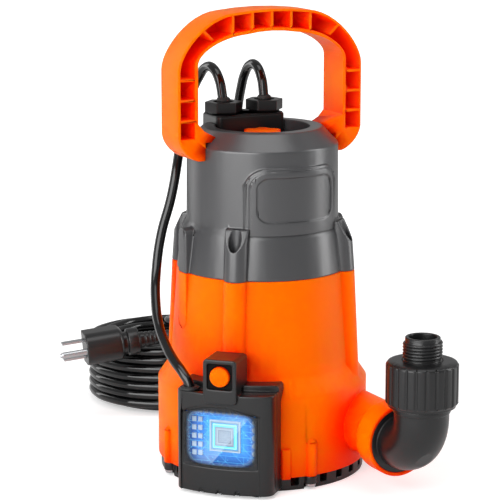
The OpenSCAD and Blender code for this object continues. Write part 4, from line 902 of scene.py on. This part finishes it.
class PUMP_OT_screws(bpy.types.Operator):
    """Turns one pan-head screw of each size, cuts its cross recess and sets a copy at each place"""
    bl_idname = "pump.screws"
    bl_label = "Screws"

    def execute(self, context):
        for node, (head_r, head_h, shank_r, length, places) in SCREWS.items():
            screw = lathe([(0.4, -length), (shank_r, 1.5 - length), (shank_r, 0), (head_r, 0.02),
                           (head_r, head_h * 0.5), (head_r * 0.9, head_h * 0.8),
                           (head_r * 0.6, head_h * 0.96), (0.2, head_h)], 40)
            for turn in (45, 135):
                bar = (head_r * 1.2 * MM, head_r * 0.3 * MM, head_h * 0.9 * MM)
                bpy.ops.mesh.primitive_cube_add(size=1, location=(0, 0, head_h * MM), scale=bar,
                                                rotation=(0, 0, math.radians(turn)))
                cut(screw, settle(context.object))
            copies = []
            for place in places:
                one = screw.copy()
                one.data = screw.data.copy()
                context.scene.collection.objects.link(one)
                one.matrix_world = place
                copies.append(settle(one))
            bpy.data.objects.remove(screw, do_unlink=True)
            make_active(copies[0])
            for one in copies:
                one.select_set(True)
            bpy.ops.object.join()
            finish_piece(copies[0], node + "_recessed", MATERIALS["steel"], replaces=(node,))
        return {"FINISHED"}


# ---- the frame's own nodes ----

class PUMP_OT_dress_frame(bpy.types.Operator):
    """Gives every node of the frame its finish"""
    bl_idname = "pump.dress_frame"
    bl_label = "Dress the frame"

    def execute(self, context):
        for finish, names in FINISH_OF.items():
            for name in names.split():
                mesh = NODES[name].data
                mesh.materials.clear()
                mesh.materials.append(MATERIALS[finish])
                for p in mesh.polygons:
                    p.material_index = 0
        return {"FINISHED"}


# ---- stage ----

def seen_directly(t):
    """1 for what the camera sees, straight or through the clear window, and 0 for all other light."""
    path = add_node(t, "ShaderNodeLightPath")
    seen = add_node(t, "ShaderNodeMath", {0: path.outputs["Is Camera Ray"],
                    1: path.outputs["Is Transmission Ray"]}, operation="MAXIMUM")
    return seen.outputs["Value"]


class PUMP_OT_stage(bpy.types.Operator):
    """Adds the floor, the studio light and the camera"""
    bl_idname = "pump.stage"
    bl_label = "Stage"

    def execute(self, context):
        s = context.scene.pump_stage
        deselect()
        bpy.ops.mesh.primitive_plane_add(size=14.0, location=(0, 0, 0))
        floor = context.object
        floor.name = "floor"
        m, t = new_material("white_paper")
        # white paper: what the camera sees is mostly its own white, with a faint shadow
        plain = add_node(t, "ShaderNodeBsdfDiffuse")
        plain.inputs["Color"].default_value = (0.8, 0.8, 0.8, 1)
        pale = add_node(t, "ShaderNodeBsdfDiffuse")
        pale.inputs["Color"].default_value = (0.76, 0.76, 0.76, 1)
        # the lamps' light thins out with distance, so the paper's own white rises there
        where = add_node(t, "ShaderNodeTexCoord").outputs["Object"]
        away = add_node(t, "ShaderNodeVectorMath", {0: where}, operation="LENGTH")
        own = add_node(t, "ShaderNodeMapRange", {"Value": away.outputs["Value"]}, in_1=0.35, in_2=1.1,
                       in_3=s.floor_white, in_4=0.95)
        glow = add_node(t, "ShaderNodeEmission", {"Strength": own.outputs["Result"]}, in_Color=(1, 1, 1, 1))
        lit = add_node(t, "ShaderNodeAddShader", {0: pale.outputs["BSDF"], 1: glow.outputs["Emission"]})
        mix = add_node(t, "ShaderNodeMixShader", {"Fac": seen_directly(t), 1: plain.outputs["BSDF"],
                       2: lit.outputs["Shader"]})
        add_node(t, "ShaderNodeOutputMaterial", {"Surface": mix.outputs["Shader"]})
        floor.data.materials.append(m)

        world = bpy.data.worlds.new("studio")
        context.scene.world = world
        world.use_nodes = True
        t = world.node_tree
        t.nodes.clear()
        ambient = add_node(t, "ShaderNodeBackground", in_Color=(1, 1, 1, 1), in_Strength=s.ambient)
        white = add_node(t, "ShaderNodeBackground", in_Color=(1, 1, 1, 1), in_Strength=1.0)
        mix = add_node(t, "ShaderNodeMixShader", {"Fac": seen_directly(t),
                       1: ambient.outputs["Background"], 2: white.outputs["Background"]})
        add_node(t, "ShaderNodeOutputWorld", {"Surface": mix.outputs["Shader"]})

        def lamp(name, place, aim, size, power):
            data = bpy.data.lights.new(name, "AREA")
            data.shape = "RECTANGLE"
            data.size, data.size_y = size
            data.energy = power
            o = bpy.data.objects.new(name, data)
            context.scene.collection.objects.link(o)
            o.location = place
            o.rotation_euler = (Vector(aim) - Vector(place)).to_track_quat("-Z", "Y").to_euler()

        # places are in the camera's own terms: degrees to its right, height and distance
        def studio(name, turn, height, away, size, power):
            a = s.azimuth + math.radians(turn)
            lamp(name, (math.sin(a) * away, -math.cos(a) * away, height), (0, 0, 0.16), size, power)

        studio("key", -36, 0.7, 1.5, (1.7, 1.3), s.key_power * 1.5)
        studio("top", 10, 2.1, 0.5, (1.6, 1.2), s.key_power * 0.55)
        studio("right_strip", 93, 0.45, 1.2, (0.35, 1.5), s.key_power * 0.38)
        studio("left_strip", -125, 0.5, 1.4, (0.3, 1.4), s.key_power * 0.15)

        aim = Vector((-7.19, 3.66, 155.8)) * MM
        e, a = s.elevation, s.azimuth
        back = Vector((math.sin(a) * math.cos(e), -math.cos(a) * math.cos(e), math.sin(e)))
        data = bpy.data.cameras.new("camera")
        data.sensor_width = 36.0
        data.sensor_fit = "HORIZONTAL"
        data.lens = s.lens
        data.clip_start, data.clip_end = 0.05, 30.0
        cam = bpy.data.objects.new("camera", data)
        context.scene.collection.objects.link(cam)
        cam.location = aim + back * s.distance
        cam.rotation_euler = (-back).to_track_quat("-Z", "Y").to_euler()
        context.scene.camera = cam
        context.scene.view_settings.view_transform = "Standard"
        return {"FINISHED"}


class PUMP_PT_panel(bpy.types.Panel):
    """Lists the pump's pieces"""
    bl_label = "Sump pump"
    bl_idname = "PUMP_PT_panel"
    bl_space_type = "VIEW_3D"
    bl_region_type = "UI"
    bl_category = "Sump pump"

    def draw(self, context):
        for group in (context.scene.pump_sizes, context.scene.pump_colours, context.scene.pump_stage):
            for name in group.__annotations__:
                self.layout.prop(group, name)
        for op in OPERATORS:
            self.layout.operator(op.bl_idname)


OPERATORS = (PUMP_OT_stage, PUMP_OT_plug, PUMP_OT_cords, PUMP_OT_hose_thread, PUMP_OT_button,
             PUMP_OT_moulded_parts, PUMP_OT_handle, PUMP_OT_foot_block, PUMP_OT_screws, PUMP_OT_dress_frame)
GROUPS = (PumpSizes, PumpColours, PumpStage)


def register():
    for c in GROUPS + OPERATORS + (PUMP_PT_panel,):
        bpy.utils.register_class(c)
    bpy.types.Scene.pump_sizes = PointerProperty(type=PumpSizes)
    bpy.types.Scene.pump_colours = PointerProperty(type=PumpColours)
    bpy.types.Scene.pump_stage = PointerProperty(type=PumpStage)


def unregister():
    del bpy.types.Scene.pump_stage, bpy.types.Scene.pump_colours, bpy.types.Scene.pump_sizes
    for c in reversed(GROUPS + OPERATORS + (PUMP_PT_panel,)):
        bpy.utils.unregister_class(c)


def main():
    register()
    make_materials()
    for op in OPERATORS:
        group, name = op.bl_idname.split(".")
        getattr(getattr(bpy.ops, group), name)()


if __name__ == "__main__":
    main()
